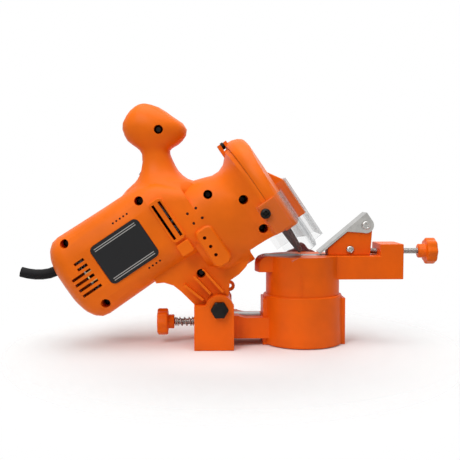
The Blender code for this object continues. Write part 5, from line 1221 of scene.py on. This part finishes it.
@dataclass
class ChainStop(Fasteners):
    """The carriage on the table's arm with its pawl and adjusting screw."""

    lock: tuple[float, float, float] = (0.0404, -0.0081, 0.0813)
    lock_size: tuple[float, float, float, float] = (0.0035, 0.0016, 0.0017, 0.0080)
    pivot: tuple[float, float, float] = (0.054, -0.0096, 0.1026)
    pivot_size: tuple[float, float, float, float] = (0.0043, 0.0016, 0.0020, 0.0192)
    washer: float = 0.0005
    screw: tuple[float, float, float, float] = (0.0521, 0.1118, 0.0797, 0.0025)
    pitch: float = 0.0008
    knob_face: float = 0.1170
    grip: Grip = Grip(0.0115, 0.0091, 0.0152)

    def build(self) -> None:
        """Makes the carriage, the pawl, the screws and the knob."""
        self.copy("stop_carriage", "carriage", CASTING, "chain_stop", Slot.CASTING)
        self.copy("stop_pawl_sheet", "pawl", PLATED, "stop_pawl", Slot.STEEL, 50.0)
        for name, place, size, washer, node in (
            ("lock_screw", self.lock, self.lock_size, 0.0, "carriage_screw"),
            ("pivot_screw", self.pivot, self.pivot_size, self.washer, "pawl_screw"),
        ):
            axis = Axis(place, (0.0, -1.0, 0.0), (math.cos(0.5), 0.0, math.sin(0.5)))
            head, height, shank, length = size
            shell = self.pan_head(axis, head, height - washer, shank, length, washer)
            self.part(name, shell, PLATED, "chain_stop", Slot.STEEL, node)
        left, right, height, radius = self.screw
        axis = Axis((left, 0.0, height), (1.0, 0.0, 0.0), (0.0, 1.0, 0.0))
        shell = self.thread(axis, right - left, radius, self.pitch)
        self.part("stop_thread", shell, THREAD, "stop_turn", Slot.STEEL, "stop_screw", angle=50.0)
        axis = Axis((self.knob_face, 0.0, height), (-1.0, 0.0, 0.0), (0.0, 0.0, 1.0))
        self.part("stop_grip", self.fluted(axis, self.grip), KNOBS, "stop_turn", Slot.SHELL, "stop_knob",
                  angle=50.0)


@dataclass
class BaseFrame(Fasteners):
    """The base casting with its pivot and swivel bolts."""

    pivot: tuple[float, float, float] = (-0.0733, -0.0353, 0.0343)
    head: float = 0.0075
    head_height: float = 0.0053
    shank: float = 0.0039
    length: float = 0.0791

    def build(self) -> None:
        """Makes the casting's smooth copy and the pivot bolt, and dresses the rest."""
        self.copy("base_body", "base_casting", CASTING, "base", Slot.CASTING)
        axis = Axis(self.pivot, (0.0, -1.0, 0.0), (1.0, 0.0, 0.0))
        shell = self.hexagon(axis, self.head, self.head_height, self.shank, self.length, 0.0005)
        self.part("pivot_hex_bolt", shell, OXIDE, "base", Slot.DARK_STEEL, "pivot_bolt", angle=25.0)
        self.dress({"pivot_nut": OXIDE, "swivel_bolt": OXIDE, "arm_bar": GROUND})


# Room, light and camera


@dataclass
class Studio:
    """A pale floor, soft lights, a white background and the camera."""

    camera_place: tuple[float, float, float] = (-0.084, -0.615, 0.133)
    camera_target: tuple[float, float, float] = (-0.0635, 0.0, 0.0983)
    sensor: float = 36.0
    pixels: float = 460.0
    distance_pixels: float = 707.0
    floor_height: float = -0.0003
    floor_radius: float = 1.6
    fade: tuple[float, float] = (0.04, 0.27)
    ambient: float = 0.40
    middle: tuple[float, float, float] = (-0.06, 0.0, 0.10)
    lights: tuple = field(default_factory=lambda: (
        ("top", (-0.10, -0.15, 1.30), 1.1, 11.5),
        ("key", (-0.70, -1.00, 1.05), 0.6, 7.5),
        ("rim", (0.55, 0.95, 0.85), 0.9, 2.2),
    ))

    def build(self) -> None:
        """Makes the floor, the lights, the world and the camera."""
        self.floor()
        for name, place, size, power in self.lights:
            self.light(name, place, size, power)
        self.world()
        self.camera()
        settings = bpy.context.scene.view_settings
        settings.view_transform = "Standard"

    def floor(self) -> None:
        """A round floor that fades away from the object, so that only its shadow shows."""
        angles = circle(64)
        radii = np.array((0.02, 0.2, 0.5, 1.0))[:, None] * self.floor_radius
        level = np.full((4, 64), self.floor_height)
        flat = np.stack((radii * np.cos(angles), radii * np.sin(angles), level), -1)
        under = flat[::-1] - np.array((0.0, 0.0, 0.01))
        mesh = bpy.data.meshes.new("floor")
        vertices, faces = Builder.closed(np.concatenate((flat, under)))
        mesh.from_pydata(vertices.tolist(), [], faces.tolist())
        material = bpy.data.materials.new("pale_floor")
        tree = Tree(material)
        place = tree.place()
        x, y, _ = tree.parts(place)
        away = ((x + 0.06) ** 2.0 + y ** 2.0) ** 0.5
        diffuse = tree.node("ShaderNodeBsdfDiffuse", inputs={"Color": (0.93, 0.93, 0.93, 1.0)})
        clear = tree.node("ShaderNodeBsdfTransparent")
        mix = tree.node("ShaderNodeMixShader", inputs={
            0: away.ramp(*self.fade),
            1: Wire(tree, diffuse.outputs[0]),
            2: Wire(tree, clear.outputs[0]),
        })
        tree.node("ShaderNodeOutputMaterial", inputs={0: Wire(tree, mix.outputs[0])})
        mesh.materials.append(material)
        floor = bpy.data.objects.new("floor", mesh)
        bpy.context.scene.collection.objects.link(floor)
        floor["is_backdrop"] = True

    def light(self, name: str, place: tuple[float, float, float], size: float, power: float) -> None:
        """Adds one square soft light that faces the object.

        Args:
            name: Name of the light.
            place: Where it stands.
            size: Length of its side.
            power: Its power in watts.
        """
        data = bpy.data.lights.new(name, "AREA")
        data.shape = "SQUARE"
        data.size = size
        data.energy = power
        lamp = bpy.data.objects.new(name, data)
        lamp.location = place
        lamp.rotation_euler = (Vector(self.middle) - Vector(place)).to_track_quat("-Z", "Y").to_euler()
        bpy.context.scene.collection.objects.link(lamp)
        lamp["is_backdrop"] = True

    def world(self) -> None:
        """White where it is seen or mirrored, softer where it lights."""
        world = bpy.data.worlds.new("white_room")
        tree = Tree(world)
        path = tree.node("ShaderNodeLightPath")
        seen = Wire(tree, path.outputs["Is Camera Ray"]).larger(Wire(tree, path.outputs["Is Glossy Ray"]))
        seen = seen.larger(Wire(tree, path.outputs["Is Transmission Ray"]))
        paint = (1.0, 1.0, 1.0, 1.0)
        lit = tree.node("ShaderNodeBackground", inputs={"Color": paint, "Strength": self.ambient})
        white = tree.node("ShaderNodeBackground", inputs={"Color": paint, "Strength": 1.0})
        mix = tree.node("ShaderNodeMixShader", inputs={
            0: seen,
            1: Wire(tree, lit.outputs[0]),
            2: Wire(tree, white.outputs[0]),
        })
        tree.node("ShaderNodeOutputWorld", inputs={0: Wire(tree, mix.outputs[0])})
        bpy.context.scene.world = world

    def camera(self) -> None:
        """The camera that took the photograph, as its perspective shows it."""
        data = bpy.data.cameras.new("view")
        data.sensor_width = self.sensor
        data.lens = self.sensor * self.distance_pixels / self.pixels
        camera = bpy.data.objects.new("view", data)
        camera.location = self.camera_place
        way = Vector(self.camera_target) - Vector(self.camera_place)
        camera.rotation_euler = way.to_track_quat("-Z", "Y").to_euler()
        bpy.context.scene.collection.objects.link(camera)
        bpy.context.scene.camera = camera


def corners() -> list[list[float]]:
    """The model's box at this moment, as plain lists."""
    return [[float(part) for part in corner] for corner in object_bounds()]


def main() -> None:
    """Loads the frame, builds every sub-assembly in order, then the room."""
    logging.basicConfig(level=logging.INFO, format="%(message)s")
    for thing in list(bpy.data.objects):
        bpy.data.objects.remove(thing)
    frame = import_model()
    builder = Builder()
    for kind in (BaseFrame, MotorHead, GrindingUnit, DepthStop, ChainTable, ChainStop):
        kind(frame, builder).build()
        LOG.info("%s done", kind.__name__)
    Studio().build()
    LOG.info("%d pieces made", len(builder.made))


if __name__ == "__main__":
    main()
